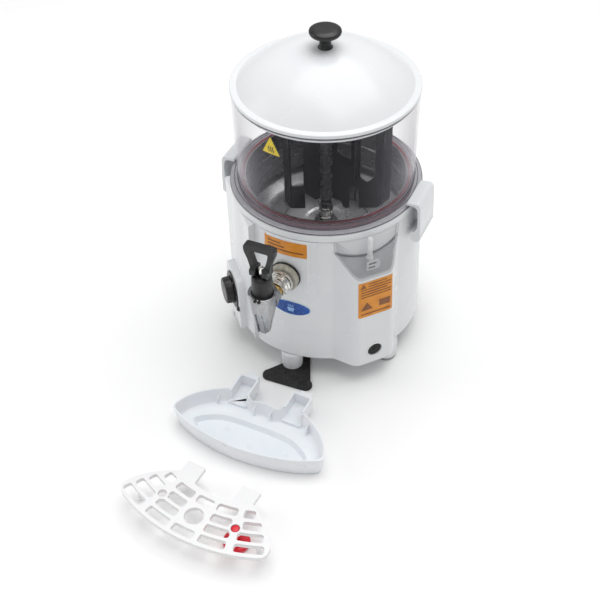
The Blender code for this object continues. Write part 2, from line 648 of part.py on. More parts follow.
def make_lever(across):
    """Loop handle on a cam foot that straddles the stem."""
    def upright(outline, thick):
        sections = [[(x, TAP_Y + side * thick, z) for x, z in outline] for side in (-0.5, 0.5)]
        return loft(sections)

    top = 0.280
    outline = [(-0.0105, 0.2390), (0.0105, 0.2390), (0.0130, 0.2440), (0.0150, 0.2560)]
    outline += bow((0.0200, 0.2700), (0.0203, top - 0.003), (0.0165, top), 4)
    outline += bow((-0.0165, top), (-0.0203, top - 0.003), (-0.0200, 0.2700), 4)
    outline += [(-0.0150, 0.2560), (-0.0130, 0.2440)]
    lever = finish(upright(outline, LEVER_THICK), "tap_lever", BLACK, (0.0, TAP_Y, LEVER_Z))
    hole = [(-0.0064, 0.2477), (0.0064, 0.2477), (0.0100, 0.2610), (0.0116, 0.2695),
            (0.0094, 0.2718), (-0.0094, 0.2718), (-0.0116, 0.2695), (-0.0100, 0.2610)]
    cut(lever, upright(hole, 0.040))
    # cam foot, seen from the side: flat at the back, round in front
    foot = arc((-0.0045, -0.0030), 0.0050, 180.0, 270.0, 5)
    foot += [(0.0075, -0.0080), (0.0085, -0.0070), (0.0085, 0.0025), (0.0045, 0.0055),
             (-0.0045, 0.0055), (-0.0095, 0.0025)]
    sections = [[(side, TAP_Y + y, LEVER_Z + z) for y, z in foot] for side in (-0.0120, 0.0120)]
    add(lever, loft(sections))
    cut(lever, box((-0.0049, TAP_Y - 0.020, 0.2300), (0.0049, TAP_Y + 0.020, 0.2490)))
    cut(lever, move(rod(0.0016, -0.020, 0.020, 12), across))
    finish(move(rod(0.0013, -0.0125, 0.0125, 12), across), "tap_pin", STEEL, (0.0, TAP_Y, LEVER_Z))


# --------------------------------------------------------------- bezel, bowl and lid
def make_bowl():
    bezel = [(0.1166, RIM_Z), (0.1275, RIM_Z), (BEZEL_RADIUS, RIM_Z + 0.001),
             (BEZEL_RADIUS, BEZEL_TOP - 0.001), (0.1275, BEZEL_TOP), (0.1166, BEZEL_TOP)]
    finish(turned(bezel), "bezel_ring", WHITE)
    low = RIM_Z + 0.002 + GAP
    gasket = [(0.1085, low), (0.1150, low), (0.1155, low + 0.003), (0.1150, BEZEL_TOP - GAP),
              (0.1085, BEZEL_TOP - GAP)]
    finish(turned(gasket), "bowl_gasket", RED_RUBBER)
    foot = BEZEL_TOP + GAP
    bowl = [(0.1085, foot), (BOWL_FLANGE, foot), (BOWL_FLANGE, foot + 0.0042),
            (0.1215, foot + 0.0044), (0.1172, foot + 0.009), (0.1172, 0.2800),
            (0.1190, 0.3750), (0.1192, BOWL_TOP), (0.1192 - BOWL_WALL, BOWL_TOP),
            (0.1190 - BOWL_WALL, 0.3750), (0.1172 - BOWL_WALL, 0.2800),
            (0.1172 - BOWL_WALL, foot + 0.006), (0.1130, foot + 0.003), (0.1085, foot + 0.0025)]
    finish(turned(bowl), "bowl", CLEAR, (0.0, 0.0, foot))


def dome(radius):
    """Height of the lid's dome above its border."""
    share = min(1.0, radius / DOME_RADIUS)
    return LID_FLAT + DOME_RISE * (1.0 - share ** DOME_POWER)


def make_lid():
    steps = 6
    skirt = 0.1150
    outer = []
    inner = []
    for step in range(steps + 1):
        radius = DOME_RADIUS * (1.0 - step / steps)
        outer.append((radius, dome(radius)))
        inner.append((radius * 0.978, dome(radius) - LID_WALL))
    inner.reverse()
    low = BOWL_TOP + GAP
    profile = [(skirt, low), (LID_RADIUS - 0.0005, low), (LID_RADIUS, low + 0.001),
               (LID_RADIUS, LID_FLAT - 0.0012), (LID_RADIUS - 0.001, LID_FLAT)]
    profile += outer + inner[:-1]
    profile += [(DOME_RADIUS - 0.0030, LID_FLAT - LID_WALL), (0.1130, LID_FLAT - LID_WALL),
                (0.1130, low - 0.008), (skirt, low - 0.008)]
    finish(turned(profile), "lid", WHITE, (0.0, 0.0, low))
    apex = dome(0.0)
    knob = [(0.0, apex + GAP), (0.0095, apex + GAP), (0.0078, apex + 0.0030),
            (0.0072, apex + 0.0090), (0.0095, apex + 0.0145), (0.0185, apex + 0.0165)]
    knob += [(0.0202 * cos(radians(a)), KNOB_TOP - 0.0060 + 0.0060 * sin(radians(a)))
             for a in (0.0, 20.0, 40.0, 60.0, 78.0)]
    knob += [(0.0, KNOB_TOP)]
    finish(turned(knob, 24), "lid_knob", BLACK, (0.0, 0.0, low))
    under = apex - LID_WALL - GAP
    screw = [(0.0, under - 0.0025), (0.0045, under - 0.0025), (0.0050, under), (0.0, under)]
    finish(turned(screw, 12), "lid_screw", STEEL, (0.0, 0.0, low))


# ------------------------------------------------------------------------- side clips
def make_clip(name, side):
    """Over-centre clip whose hook holds down the bowl flange."""
    hook = BEZEL_TOP + GAP + 0.0048
    outline = arc((CLIP_PIN_X, CLIP_PIN_Z), 0.0072, 180.0, 340.0, 8)
    outline += [(0.1436, 0.2250)]
    outline += bow((0.1425, 0.2460), (0.1402, 0.2548), (0.1340, 0.2565), 4)
    outline += [(0.1240, 0.2560), (0.1222, 0.2540), (0.1222, hook), (0.1330, hook)]
    outline += [(0.1370, 0.2495), (0.1388, 0.2430), (0.1392, 0.2200), (0.1362, 0.2130), (0.1300, 0.2100)]
    sections = [[(side * x, y, z) for x, z in outline] for y in (-CLIP_HALF, CLIP_HALF)]
    clip = finish(loft(sections), name, WHITE, (side * CLIP_PIN_X, 0.0, CLIP_PIN_Z))
    low = min(side * 0.1250, side * (CLIP_PIN_X + 0.0052))
    high = max(side * 0.1250, side * (CLIP_PIN_X + 0.0052))
    cut(clip, box((low, -0.0088, CLIP_PIN_Z - 0.009), (high, 0.0088, CLIP_PIN_Z + 0.0056)))
    lying = Matrix.Translation((side * CLIP_PIN_X, 0.0, CLIP_PIN_Z))
    lying = lying @ Matrix.Rotation(radians(90.0), 4, "X")
    cut(clip, move(rod(0.0022, -0.024, 0.024, 16), lying))
    finish(move(rod(0.0018, -0.0235, 0.0235, 12), lying), name + "_pin", STEEL)


# ------------------------------------------------------------------------------- legs
def make_legs():
    top = BODY_LOW - GAP
    spots = (("front_leg", 0.0, FRONT_LEG_Y), ("right_leg", 0.113, -0.0513),
             ("left_leg", -0.113, -0.0513), ("rear_leg", 0.0, LEG_CIRCLE))
    for name, x, y in spots:
        profile = [(0.0, LEG_LOW), (LEG_RADIUS - 0.0012, LEG_LOW), (LEG_RADIUS - 0.0004, LEG_LOW + 0.001),
                   (LEG_RADIUS, top), (0.0, top)]
        finish(move(turned(profile, 20), Matrix.Translation((x, y, 0.0))), name, WHITE)
        if name != "front_leg":
            finish(rod(LEG_RADIUS - 0.001, 0.0, PAD_HEIGHT, 20, x, y), name[:-4] + "_pad", RUBBER)
    corners = ((-0.0205, -0.1550), (0.0335, -0.1535), (0.0140, -0.1095))
    outline = []
    for index, (x, y) in enumerate(corners):
        before = Vector(corners[index - 1]) - Vector((x, y))
        after = Vector(corners[(index + 1) % 3]) - Vector((x, y))
        start = Vector((-before.y, before.x)).normalized() * -1.0
        end = Vector((after.y, -after.x)).normalized()
        start = -start if start.dot(after) > 0.0 else start
        end = -end if end.dot(before) > 0.0 else end
        for step in range(5):
            outline.append(tuple(Vector((x, y)) + start.lerp(end, step / 4).normalized() * 0.0095))
    finish(prism(outline, 0.0, PAD_HEIGHT), "triangular_foot", RUBBER)


# --------------------------------------------------------------------- tray and grid
def placed(point, turn, height=0.0):
    """Frame of a loose piece that stands in front of the machine."""
    return Matrix.Translation((point[0], point[1], height)) @ Matrix.Rotation(radians(turn), 4, "Z")


def mirrored(points):
    """Right half of an outline from front to back, closed by its mirror image."""
    return points + [(-x, y) for x, y in reversed(points) if abs(x) > 1e-9]


def tray_outline():
    """Anticlockwise plan of the tray at its rim, without the arms."""
    front = bow((0.0, -TRAY_FRONT), (0.0560, -0.0848), (0.1000, -0.0690), 6)
    tip = bow((0.1045, -0.0667), (TRAY_TIP, -0.0610), (0.1085, -0.0520), 3)
    back = bow((0.1030, -0.0400), (0.0830, -0.0180), (ARM_OUT, 0.0), 4)
    notch = [(ARM_IN, -0.0020), (0.0180, -0.0100), (0.0120, -0.0070)]
    return mirrored(front + tip + back + notch + [(0.0, -0.0045)])


def make_tray():
    place = placed(TRAY_PLACE, TRAY_TURN)
    rim = tray_outline()
    sections = [[(x, y, 0.0) for x, y in inset(rim, 0.0045)],
                [(x, y, TRAY_HEIGHT) for x, y in rim],
                [(x, y, TRAY_HEIGHT) for x, y in inset(rim, TRAY_WALL)],
                [(x, y, 0.0100) for x, y in inset(rim, TRAY_WALL + 0.0035)]]
    tray = finish(move(loft(sections), place), "drip_tray", WHITE, place.translation)
    basin = bow((0.0, -0.0800), (0.0440, -0.0760), (0.0800, -0.0620), 3)
    basin += bow((0.0800, -0.0520), (0.0480, -0.0330), (0.0, -0.0300), 3)
    cut(tray, move(prism(mirrored(basin), 0.0030, 0.0200), place))
    for side in (-1.0, 1.0):
        low = min(side * ARM_IN, side * ARM_OUT)
        high = max(side * ARM_IN, side * ARM_OUT)
        arm = finish(move(box((low, -0.006, 0.0105), (high, ARM_REACH, TRAY_HEIGHT)), place),
                     "tool_arm")
        hook = box((low + 0.007, ARM_REACH - 0.004, 0.0160), (high - 0.003, ARM_REACH + 0.008, 0.0290))
        add(arm, move(hook, place))
        cut(arm, move(box((low + TRAY_WALL, -0.012, 0.0145), (high - TRAY_WALL, ARM_REACH - TRAY_WALL, 0.040)),
                      place))
        add(tray, arm)
        cut(tray, move(box((low + TRAY_WALL, -0.012, 0.0146), (high - TRAY_WALL, 0.010, 0.040)), place))
    return tray


def grid_outline():
    """Anticlockwise plan of the drip grid with its two rear tabs."""
    front = [(GRID_RADIUS * sin(radians(a)), GRID_CENTRE - GRID_RADIUS * cos(radians(a)))
             for a in (0.0, 5.0, 10.0, 15.0, 20.0, 24.5)]
    tip = bow((0.1010, -0.0566), (0.1052, -0.0500), (0.1040, -0.0390), 3)
    back = bow((0.0990, -0.0310), (0.0790, -0.0115), (0.0533, 0.0049), 4)
    tab = [(0.0533, 0.0225), (0.0279, 0.0225), (0.0270, -0.0030), (0.0140, -0.0072)]
    return mirrored(front + tip + back + tab + [(0.0, -0.0083)])


def ring_slot(radius, start, end, width=GRID_SLOT):
    """Plan of one curved slot with rounded ends, angles from straight ahead."""
    lean = width / 2.0 - 0.0030
    outer = radius + width / 2.0
    inner = radius - width / 2.0
    ease = 0.0030 / radius * 180.0 / pi
    points = []
    steps = 3
    for step in range(steps + 1):
        angle = start + ease + (end - start - 2.0 * ease) * step / steps
        points.append((outer, angle))
    points += [(radius + lean, end), (radius - lean, end)]
    for step in range(steps + 1):
        angle = end - ease - (end - start - 2.0 * ease) * step / steps
        points.append((inner, angle))
    points += [(radius - lean, start), (radius + lean, start)]
    return [(r * sin(radians(a)), GRID_CENTRE - r * cos(radians(a))) for r, a in points]


def grid_slots():
    """Outlines of all the slots of the grid."""
    gap = 1.6 / 2.0
    inner, middle, outer = 4.7, 15.7, 26.4
    rows = (((-inner + gap, inner - gap), outer), (None, outer - 0.6), (None, outer - 1.8),
            ((-inner + gap, inner - gap), outer - 4.7))
    slots = []
    for radius, (centre, end) in zip(GRID_ROWS, rows):
        spans = [(inner + gap, middle - 1.2), (middle + 1.2, end)]
        if radius == GRID_ROWS[2]:
            spans = [(inner + gap, middle - 2.0), (middle + 2.0, end)]
        for start, stop in spans:
            slots.append(ring_slot(radius, start, stop))
            slots.append(ring_slot(radius, -stop, -start))
        if centre:
            slots.append(ring_slot(radius, *centre))
    return slots


def make_grid():
    low = GRID_TOP - GRID_THICK
    place = placed(GRID_PLACE, GRID_TURN)
    grid = finish(move(prism(grid_outline(), low, GRID_TOP), place), "drip_grid", WHITE,
                  place.translation)
    pegs = ((0.0870, -0.0385), (-0.0870, -0.0385), (0.0405, 0.0130), (-0.0405, 0.0130))
    for x, y in pegs:
        add(grid, move(rod(0.0032, 0.0, low + 0.001, 10, x, y), place))
    tool = bmesh.new()
    for slot in grid_slots():
        mesh = bpy.data.meshes.new("slot")
        piece = prism(slot, low - 0.004, GRID_TOP + 0.004)
        piece.to_mesh(mesh)
        piece.free()
        tool.from_mesh(mesh)
        bpy.data.meshes.remove(mesh)
    cut(grid, move(tool, place))
    cut(grid, move(rod(0.0124, low - 0.004, GRID_TOP + 0.004, 28, 0.0, -0.0451), place))
    for side in (-1.0, 1.0):
        x, y = side * GRID_HOLE[0], GRID_HOLE[1]
        add(grid, move(rod(GRID_BOSS, low + 0.0002, GRID_TOP - 0.0002, 20, x, y), place))
        cut(grid, move(rod(0.0058, low - 0.004, GRID_TOP + 0.004, 20, x, y), place))
    stem = [(0.0, 0.0), (0.0150, 0.0), (0.0168, 0.0015), (0.0168, 0.0065), (0.0150, 0.0080),
            (FLOAT_STEM, 0.0085), (FLOAT_STEM, GRID_TOP - 0.001), (FLOAT_STEM - 0.001, GRID_TOP),
            (0.0, GRID_TOP)]
    spot = place @ Vector((GRID_HOLE[0], GRID_HOLE[1], 0.0))
    finish(move(turned(stem, COARSE), Matrix.Translation(spot)), "tray_float", RED, spot)


# ------------------------------------------------------------------------- whole set
make_housing()
make_base_plate()
make_pan()
make_jacket()
make_ring("heater_ring", 0.070, 0.005, 0.1350)
make_drive()
make_mixer()
make_controls()
make_gauge()
make_drain()
make_tap()
make_bowl()
make_lid()
make_clip("left_clip", -1.0)
make_clip("right_clip", 1.0)
make_legs()
make_tray()
make_grid()
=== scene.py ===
"""Looks of the hot sauce dispenser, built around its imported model.

Shapes are worked out in machine coordinates, metres, with the machine's axis at x = y = 0,
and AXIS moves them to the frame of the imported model.
"""
import json
from math import atan2, cos, hypot, pi, radians, sin

import bmesh
import bpy
import numpy as np
from mathutils import Matrix, Vector


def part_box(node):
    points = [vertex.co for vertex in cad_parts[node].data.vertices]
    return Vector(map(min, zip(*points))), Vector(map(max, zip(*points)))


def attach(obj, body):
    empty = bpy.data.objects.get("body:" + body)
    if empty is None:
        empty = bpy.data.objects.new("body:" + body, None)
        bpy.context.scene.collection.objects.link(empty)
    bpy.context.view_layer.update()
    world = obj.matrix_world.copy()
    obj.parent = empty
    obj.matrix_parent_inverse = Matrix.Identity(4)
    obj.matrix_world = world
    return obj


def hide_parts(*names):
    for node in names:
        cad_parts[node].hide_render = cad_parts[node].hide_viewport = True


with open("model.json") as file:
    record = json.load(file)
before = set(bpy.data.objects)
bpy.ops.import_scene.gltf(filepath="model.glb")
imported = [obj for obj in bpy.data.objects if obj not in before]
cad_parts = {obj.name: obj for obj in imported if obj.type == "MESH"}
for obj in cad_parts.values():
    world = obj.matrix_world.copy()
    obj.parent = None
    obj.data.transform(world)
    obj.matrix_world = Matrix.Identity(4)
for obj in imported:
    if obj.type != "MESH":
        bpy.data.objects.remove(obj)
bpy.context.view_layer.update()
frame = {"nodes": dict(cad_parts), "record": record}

# ------------------------------------------------------------------- places from the frame
LID_LOW, LID_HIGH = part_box("lid")
AXIS = Vector(((LID_LOW.x + LID_HIGH.x) / 2.0, (LID_LOW.y + LID_HIGH.y) / 2.0, 0.0))


def span(node):
    """Lowest and highest corner of a CAD node in machine coordinates."""
    low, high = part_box(node)
    return low - AXIS, high - AXIS


HOUSING_LOW, HOUSING_HIGH = span("base_housing")
BODY_LOW = HOUSING_LOW.z
BODY_TOP = HOUSING_HIGH.z
BEZEL_LOW, BEZEL_HIGH = span("bezel_ring")
BOWL_LOW, BOWL_HIGH = span("bowl")
KNOB_HIGH = span("lid_knob")[1]
GASKET_LOW = span("bowl_gasket")[0]
PAN_LOW = span("product_pan")[0]
PAN_HIGH = span("pan_wall")[1]
TRAY_HIGH = span("drip_tray")[1]
GRID_HIGH = span("drip_grid")[1]
FLOAT_LOW, FLOAT_HIGH = span("tray_float")

# housing form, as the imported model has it
BODY_RADIUS = 0.1271      # at BODY_TOP + 4 mm
DRAFT = 0.029
GAUGE_AZ = 48.6
GAUGE_FACE = 0.147
GAUGE_HALF = 0.0265
SPLIT_FRONT = 0.183
SPLIT_SLOPE = 1.26
BOSS_AZ = -48.0
BOSS_FACE = 0.1385
BOSS_HALF = 0.0325
BOSS_TOP = 0.119
DIAL_Z = 0.083
DRAIN_Z = 0.0555
INLET_HALF = 0.0142
INLET_LOW = 0.0518
INLET_HIGH = 0.0742
TAP_Y = -0.200
TAP_Z = 0.178
LEVER_Z = 0.2420
CLIP_X = 0.1372
CLIP_Z = 0.2025
TRAY_PLACE = (0.0084, -0.2207)
TRAY_TURN = -1.6
GRID_PLACE = (0.0121, -0.3805)
GRID_TURN = -5.8
MIXER_TURN = 23.3
SIGN_AZ = -10.2
SIGN_LOW = 0.3515
PAN_RADIUS_OUT = 0.1065

# studio: name, place, size, power and what each light points at
WORLD_LIGHT = 0.46
LIGHTS = (("top", (0.25, 0.7, 3.0), (3.0, 3.0), 76.0, (0.0, 0.0, 0.1)),
          ("left", (-2.2, -0.6, 1.2), (1.2, 1.6), 9.0, (0.0, 0.1, 0.2)),
          ("front", (0.3, -2.4, 1.6), (1.6, 1.0), 5.0, (0.0, 0.0, 0.2)))


# ------------------------------------------------------------------------------- materials
class Shader:
    """A node material around one Principled shader."""

    def __init__(self, name, colour, roughness, metallic=0.0):
        self.material = bpy.data.materials.new(name)
        self.material.use_nodes = True
        self.nodes = self.material.node_tree.nodes
        self.links = self.material.node_tree.links
        self.surface = self.nodes["Principled BSDF"]
        self.set("Base Color", (*colour, 1.0))
        self.set("Roughness", roughness)
        self.set("Metallic", metallic)
        self.normal = None

    def set(self, socket, value):
        self.surface.inputs[socket].default_value = value
        return self

    def noise(self, scale, detail=3.0, stretch=(1.0, 1.0, 1.0), rough=0.5):
        """Noise over the object's own coordinates."""
        where = self.nodes.new("ShaderNodeTexCoord")
        mapping = self.nodes.new("ShaderNodeMapping")
        mapping.inputs["Scale"].default_value = stretch
        texture = self.nodes.new("ShaderNodeTexNoise")
        texture.inputs["Scale"].default_value = scale
        texture.inputs["Detail"].default_value = detail
        texture.inputs["Roughness"].default_value = rough
        self.links.new(where.outputs["Object"], mapping.inputs["Vector"])
        self.links.new(mapping.outputs["Vector"], texture.inputs["Vector"])
        return texture.outputs["Fac"]

    def ramp(self, source, low, high, start=0.35, end=0.65):
        """Map a factor between two colours."""
        node = self.nodes.new("ShaderNodeValToRGB")
        node.color_ramp.elements[0].position = start
        node.color_ramp.elements[1].position = end
        node.color_ramp.elements[0].color = (*low, 1.0)
        node.color_ramp.elements[1].color = (*high, 1.0)
        self.links.new(source, node.inputs["Fac"])
        return node.outputs["Color"]

    def vary_colour(self, low, high, scale=30.0, **kind):
        self.links.new(self.ramp(self.noise(scale, **kind), low, high),
                       self.surface.inputs["Base Color"])
        return self

    def vary_rough(self, low, high, scale=60.0, **kind):
        node = self.nodes.new("ShaderNodeMapRange")
        node.inputs["From Min"].default_value = 0.3
        node.inputs["From Max"].default_value = 0.7
        node.inputs["To Min"].default_value = low
        node.inputs["To Max"].default_value = high
        self.links.new(self.noise(scale, **kind), node.inputs["Value"])
        self.links.new(node.outputs["Result"], self.surface.inputs["Roughness"])
        return self

    def bump(self, scale, strength, distance=0.0002, **kind):
        node = self.nodes.new("ShaderNodeBump")
        node.inputs["Strength"].default_value = strength
        node.inputs["Distance"].default_value = distance
        self.links.new(self.noise(scale, **kind), node.inputs["Height"])
        if self.normal is not None:
            self.links.new(self.normal, node.inputs["Normal"])
        self.normal = node.outputs["Normal"]
        self.links.new(self.normal, self.surface.inputs["Normal"])
        return self


def white_plastic():
    made = Shader("white_moulding", (0.80, 0.81, 0.83), 0.26)
    made.vary_colour((0.745, 0.765, 0.780), (0.775, 0.79, 0.80), 9.0)
    made.vary_rough(0.22, 0.28, 40.0)
    made.bump(500.0, 0.02, 0.00003)
    return made.set("IOR", 1.48).material


def snow_plastic():
    made = Shader("grid_moulding", (0.90, 0.90, 0.90), 0.3)
    made.vary_colour((0.82, 0.82, 0.825), (0.85, 0.85, 0.85), 14.0)
    made.vary_rough(0.26, 0.34, 40.0)
    made.bump(500.0, 0.02, 0.00003)
    return made.set("Subsurface Weight", 0.05).material


def tray_plastic():
    made = Shader("tray_moulding", (0.80, 0.82, 0.85), 0.3)
    made.vary_colour((0.82, 0.845, 0.88), (0.85, 0.87, 0.90), 14.0)
    made.vary_rough(0.26, 0.34, 40.0)
    made.bump(500.0, 0.02, 0.00003)
    made.set("Subsurface Weight", 0.06)
    return made.material


def black_plastic():
    made = Shader("black_moulding", (0.014, 0.014, 0.016), 0.36)
    made.vary_colour((0.006, 0.006, 0.007), (0.013, 0.013, 0.014), 70.0)
    made.vary_rough(0.28, 0.44, 180.0)
    made.bump(2600.0, 0.18, 0.0001)
    return made.material


def mixer_plastic():
    made = Shader("mixer_moulding", (0.02, 0.02, 0.022), 0.4)
    made.vary_colour((0.006, 0.006, 0.007), (0.018, 0.018, 0.020), 45.0)
    made.vary_rough(0.30, 0.5, 90.0)
    made.bump(1200.0, 0.04, 0.0001)
    return made.material


def black_rubber():
    made = Shader("rubber", (0.014, 0.014, 0.014), 0.75)
    made.vary_colour((0.008, 0.008, 0.008), (0.022, 0.022, 0.021), 160.0)
    made.vary_rough(0.62, 0.85, 240.0)
    made.bump(3200.0, 0.35, 0.00015)
    return made.material


def red_rubber():
    made = Shader("silicone", (0.22, 0.012, 0.022), 0.42)
    made.vary_colour((0.16, 0.007, 0.014), (0.27, 0.014, 0.024), 40.0)
    made.bump(900.0, 0.1, 0.0001)
    return made.set("Subsurface Weight", 0.05).material


def red_plastic():
    made = Shader("red_moulding", (0.70, 0.012, 0.03), 0.3)
    made.vary_colour((0.62, 0.008, 0.022), (0.78, 0.016, 0.036), 60.0)
    made.vary_rough(0.22, 0.36, 120.0)
    made.bump(1500.0, 0.06, 0.0001)
    return made.material


def chrome():
    made = Shader("plating", (0.80, 0.80, 0.79), 0.1, 1.0)
    # base colour streaked dark and light: painted reflection of a darker room in the plating
    made.vary_colour((0.38, 0.37, 0.34), (0.90, 0.89, 0.86), 150.0, stretch=(1.0, 3.0, 1.0))
    made.vary_rough(0.07, 0.17, 160.0)
    made.bump(500.0, 0.05, 0.0001, stretch=(1.0, 1.0, 6.0))
    return made.material


def satin_chrome():
    made = Shader("satin_plating", (0.78, 0.78, 0.775), 0.24, 1.0)
    # base colour darkened and streaked upright: painted reflection on the satin plating
    made.vary_colour((0.20, 0.205, 0.215), (0.46, 0.46, 0.47), 60.0, stretch=(1.0, 1.0, 0.25))
    made.vary_rough(0.18, 0.30, 140.0)
    made.bump(700.0, 0.08, 0.0001, stretch=(1.0, 1.0, 5.0))
    return made.material


def brass():
    made = Shader("turned_brass", (0.62, 0.43, 0.16), 0.25, 1.0)
    made.vary_colour((0.50, 0.33, 0.11), (0.74, 0.55, 0.24), 60.0)
    made.vary_rough(0.2, 0.35, 180.0)
    return made.material


def steel():
    made = Shader("spun_steel", (0.60, 0.60, 0.60), 0.28, 1.0)
    made.vary_colour((0.17, 0.17, 0.175), (0.46, 0.46, 0.465), 11.0, stretch=(1.0, 1.0, 0.5), detail=1.0)
    made.vary_rough(0.24, 0.34, 30.0, stretch=(1.0, 1.0, 4.0))
    made.bump(400.0, 0.008, 0.00005, stretch=(1.0, 1.0, 26.0), detail=2.0)
    return made.material


def aluminium():
    made = Shader("cast_alloy", (0.62, 0.63, 0.64), 0.4, 1.0)
    made.vary_colour((0.52, 0.53, 0.54), (0.68, 0.69, 0.70), 60.0)
    made.bump(800.0, 0.2, 0.0002)
    return made.material


def clear_plastic(name, tint, low, high, rough):
    """Thin clear plastic: almost invisible face on, whiter and denser towards its edges."""
    made = Shader(name, tint, rough)
    made.set("IOR", 1.5)
    facing = made.nodes.new("ShaderNodeLayerWeight")
    facing.inputs["Blend"].default_value = 0.5
    curve = made.nodes.new("ShaderNodeMath")
    curve.operation = "POWER"
    curve.inputs[1].default_value = 3.0
    level = made.nodes.new("ShaderNodeMapRange")
    level.inputs["To Min"].default_value = low
    level.inputs["To Max"].default_value = high
    made.links.new(facing.outputs["Facing"], curve.inputs[0])
    made.links.new(curve.outputs["Value"], level.inputs["Value"])
    made.links.new(level.outputs["Result"], made.surface.inputs["Alpha"])
    made.bump(24.0, 0.05, 0.0006)
    made.set("Coat Weight", 0.6)
    made.set("Coat Roughness", 0.03)
    return made.material


def print_ink(name, low, high, scale=90.0, rough=0.35):
    made = Shader(name, high, rough)
    made.vary_colour(low, high, scale)
    made.vary_rough(rough - 0.06, rough + 0.08, 200.0)
    made.bump(1800.0, 0.05, 0.00005)
    return made.material


WHITE = white_plastic()
SNOW = snow_plastic()
TRAY = tray_plastic()
BLACK = black_plastic()
MIXER = mixer_plastic()
RUBBER = black_rubber()
SILICONE = red_rubber()
RED = red_plastic()
CHROME = chrome()
SATIN = satin_chrome()
BRASS = brass()
STEEL = steel()
ALLOY = aluminium()
CLEAR = clear_plastic("clear_bowl", (0.66, 0.645, 0.72), 0.01, 0.60, 0.04)
CLEAR_FOOT = clear_plastic("clear_bowl_foot", (0.52, 0.50, 0.56), 0.20, 0.9, 0.08)
# the dark tint of the bowl's edge bands is painted shade
CLEAR_EDGE_SHADE = clear_plastic("clear_bowl_edge_shade", (0.10, 0.10, 0.12), 0.75, 0.95, 0.12)
# the dark grey tint of the clear gauge is painted shade of the pocket seen through it
CLEAR_GAUGE_SHADED = clear_plastic("clear_gauge_shaded", (0.36, 0.37, 0.39), 0.14, 0.7, 0.10)
ORANGE = print_ink("orange_label", (0.66, 0.23, 0.012), (0.76, 0.29, 0.02))
BROWN = print_ink("brown_print", (0.18, 0.06, 0.01), (0.27, 0.09, 0.015))
YELLOW = print_ink("yellow_label", (0.70, 0.52, 0.02), (0.82, 0.62, 0.03))
BLUE = print_ink("blue_badge", (0.008, 0.055, 0.27), (0.012, 0.09, 0.40), 25.0, 0.25)
SKY = print_ink("sky_print", (0.25, 0.45, 0.78), (0.42, 0.60, 0.88), 60.0, 0.3)
DARK = print_ink("dark_print", (0.02, 0.02, 0.022), (0.05, 0.05, 0.055))
TUBE = print_ink("grey_tube", (0.055, 0.055, 0.058), (0.12, 0.12, 0.125), 30.0, 0.25)
BEIGE = print_ink("beige_nut", (0.30, 0.285, 0.235), (0.44, 0.42, 0.36), 220.0, 0.32)
GREY = print_ink("grey_insert", (0.06, 0.06, 0.065), (0.10, 0.10, 0.105))
PAD = print_ink("grey_pad", (0.30, 0.30, 0.30), (0.40, 0.40, 0.40), 160.0, 0.7)
PALE = print_ink("pale_print", (0.70, 0.71, 0.72), (0.82, 0.83, 0.84))


# ------------------------------------------------------------------------------ mesh tools
def piece(name, points, faces, material, body, slot, nodes=(), sharp=38.0, matrix=None):
    """Make an object from points in machine coordinates and hang it on a CAD body."""
    points = np.asarray(points, float).reshape(-1, 3)
    if matrix is not None:
        turn = np.array(matrix.to_3x3())
        points = points @ turn.T + np.array(matrix.translation)
    points = points + np.array(AXIS)
    mesh = bpy.data.meshes.new(name)
    mesh.from_pydata(points.tolist(), [], faces)
    mesh.validate()
    bm = bmesh.new()
    bm.from_mesh(mesh)
    bmesh.ops.recalc_face_normals(bm, faces=bm.faces)
    if bm.calc_volume(signed=True) < 0.0:
        bmesh.ops.reverse_faces(bm, faces=bm.faces)
    bm.to_mesh(mesh)
    bm.free()
    return hang(bpy.data.objects.new(name, mesh), material, body, nodes, sharp)


def hang(made, material, body, nodes=(), sharp=38.0):
    """Finish an object: material, smooth shading, body and the nodes it stands for."""
    made.data.materials.clear()
    made.data.materials.append(material)
    made.data.shade_smooth()
    made.data.set_sharp_from_angle(angle=radians(sharp))
    if made.name not in bpy.context.scene.collection.objects:
        bpy.context.scene.collection.objects.link(made)
    if body:
        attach(made, body)
    if nodes:
        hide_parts(*nodes)
    return made


def lathe_data(profile, sides=160, start=0.0, sweep=360.0):
    """Points and faces of a closed (radius, height) outline turned about Z."""
    points = []
    faces = []
    whole = sweep > 359.9
    columns = sides if whole else sides + 1
    index = []
    for column in range(columns):
        angle = radians(start + sweep * column / sides)
        row = []
        for place, (radius, height) in enumerate(profile):
            if radius < 1e-7 and column > 0:
                row.append(index[0][place])
            else:
                row.append(len(points))
                points.append((radius * cos(angle), radius * sin(angle), height))
        index.append(row)
    count = len(profile)
    for column in range(sides):
        here = index[column]
        there = index[(column + 1) % columns]
        for place in range(count):
            nxt = (place + 1) % count
            loop = []
            for vert in (here[place], here[nxt], there[nxt], there[place]):
                if vert not in loop:
                    loop.append(vert)
            if len(loop) > 2:
                faces.append(loop)
    if not whole:
        faces.append(index[0])
        faces.append(index[-1])
    return points, faces


def corner_curve(here, back, ahead, reach, steps):
    """Points of the curve that rounds one corner."""
    first = here + back.normalized() * reach
    last = here + ahead.normalized() * reach
    shares = [step / steps for step in range(steps + 1)]
    return [first * (1 - t) ** 2 + here * 2 * t * (1 - t) + last * t * t for t in shares]


def soften(profile, radius, steps=4):
    """Round the corners of a closed (radius, height) outline; points on the axis stay."""
    count = len(profile)
    softened = []
    for place in range(count):
        here = Vector(profile[place][:2])
        size = profile[place][2] if len(profile[place]) > 2 else radius
        before = Vector(profile[place - 1][:2])
        after = Vector(profile[(place + 1) % count][:2])
        back = before - here
        ahead = after - here
        straight = back.length < 1e-9 or ahead.length < 1e-9
        if here.x < 1e-7 or size <= 0.0 or straight or abs(back.angle(ahead) - pi) < 0.05:
            softened.append(tuple(here))
            continue
        reach = min(size, 0.45 * back.length, 0.45 * ahead.length)
        for point in corner_curve(here, back, ahead, reach, steps):
            softened.append((max(point.x, 0.0), point.y))
    return softened


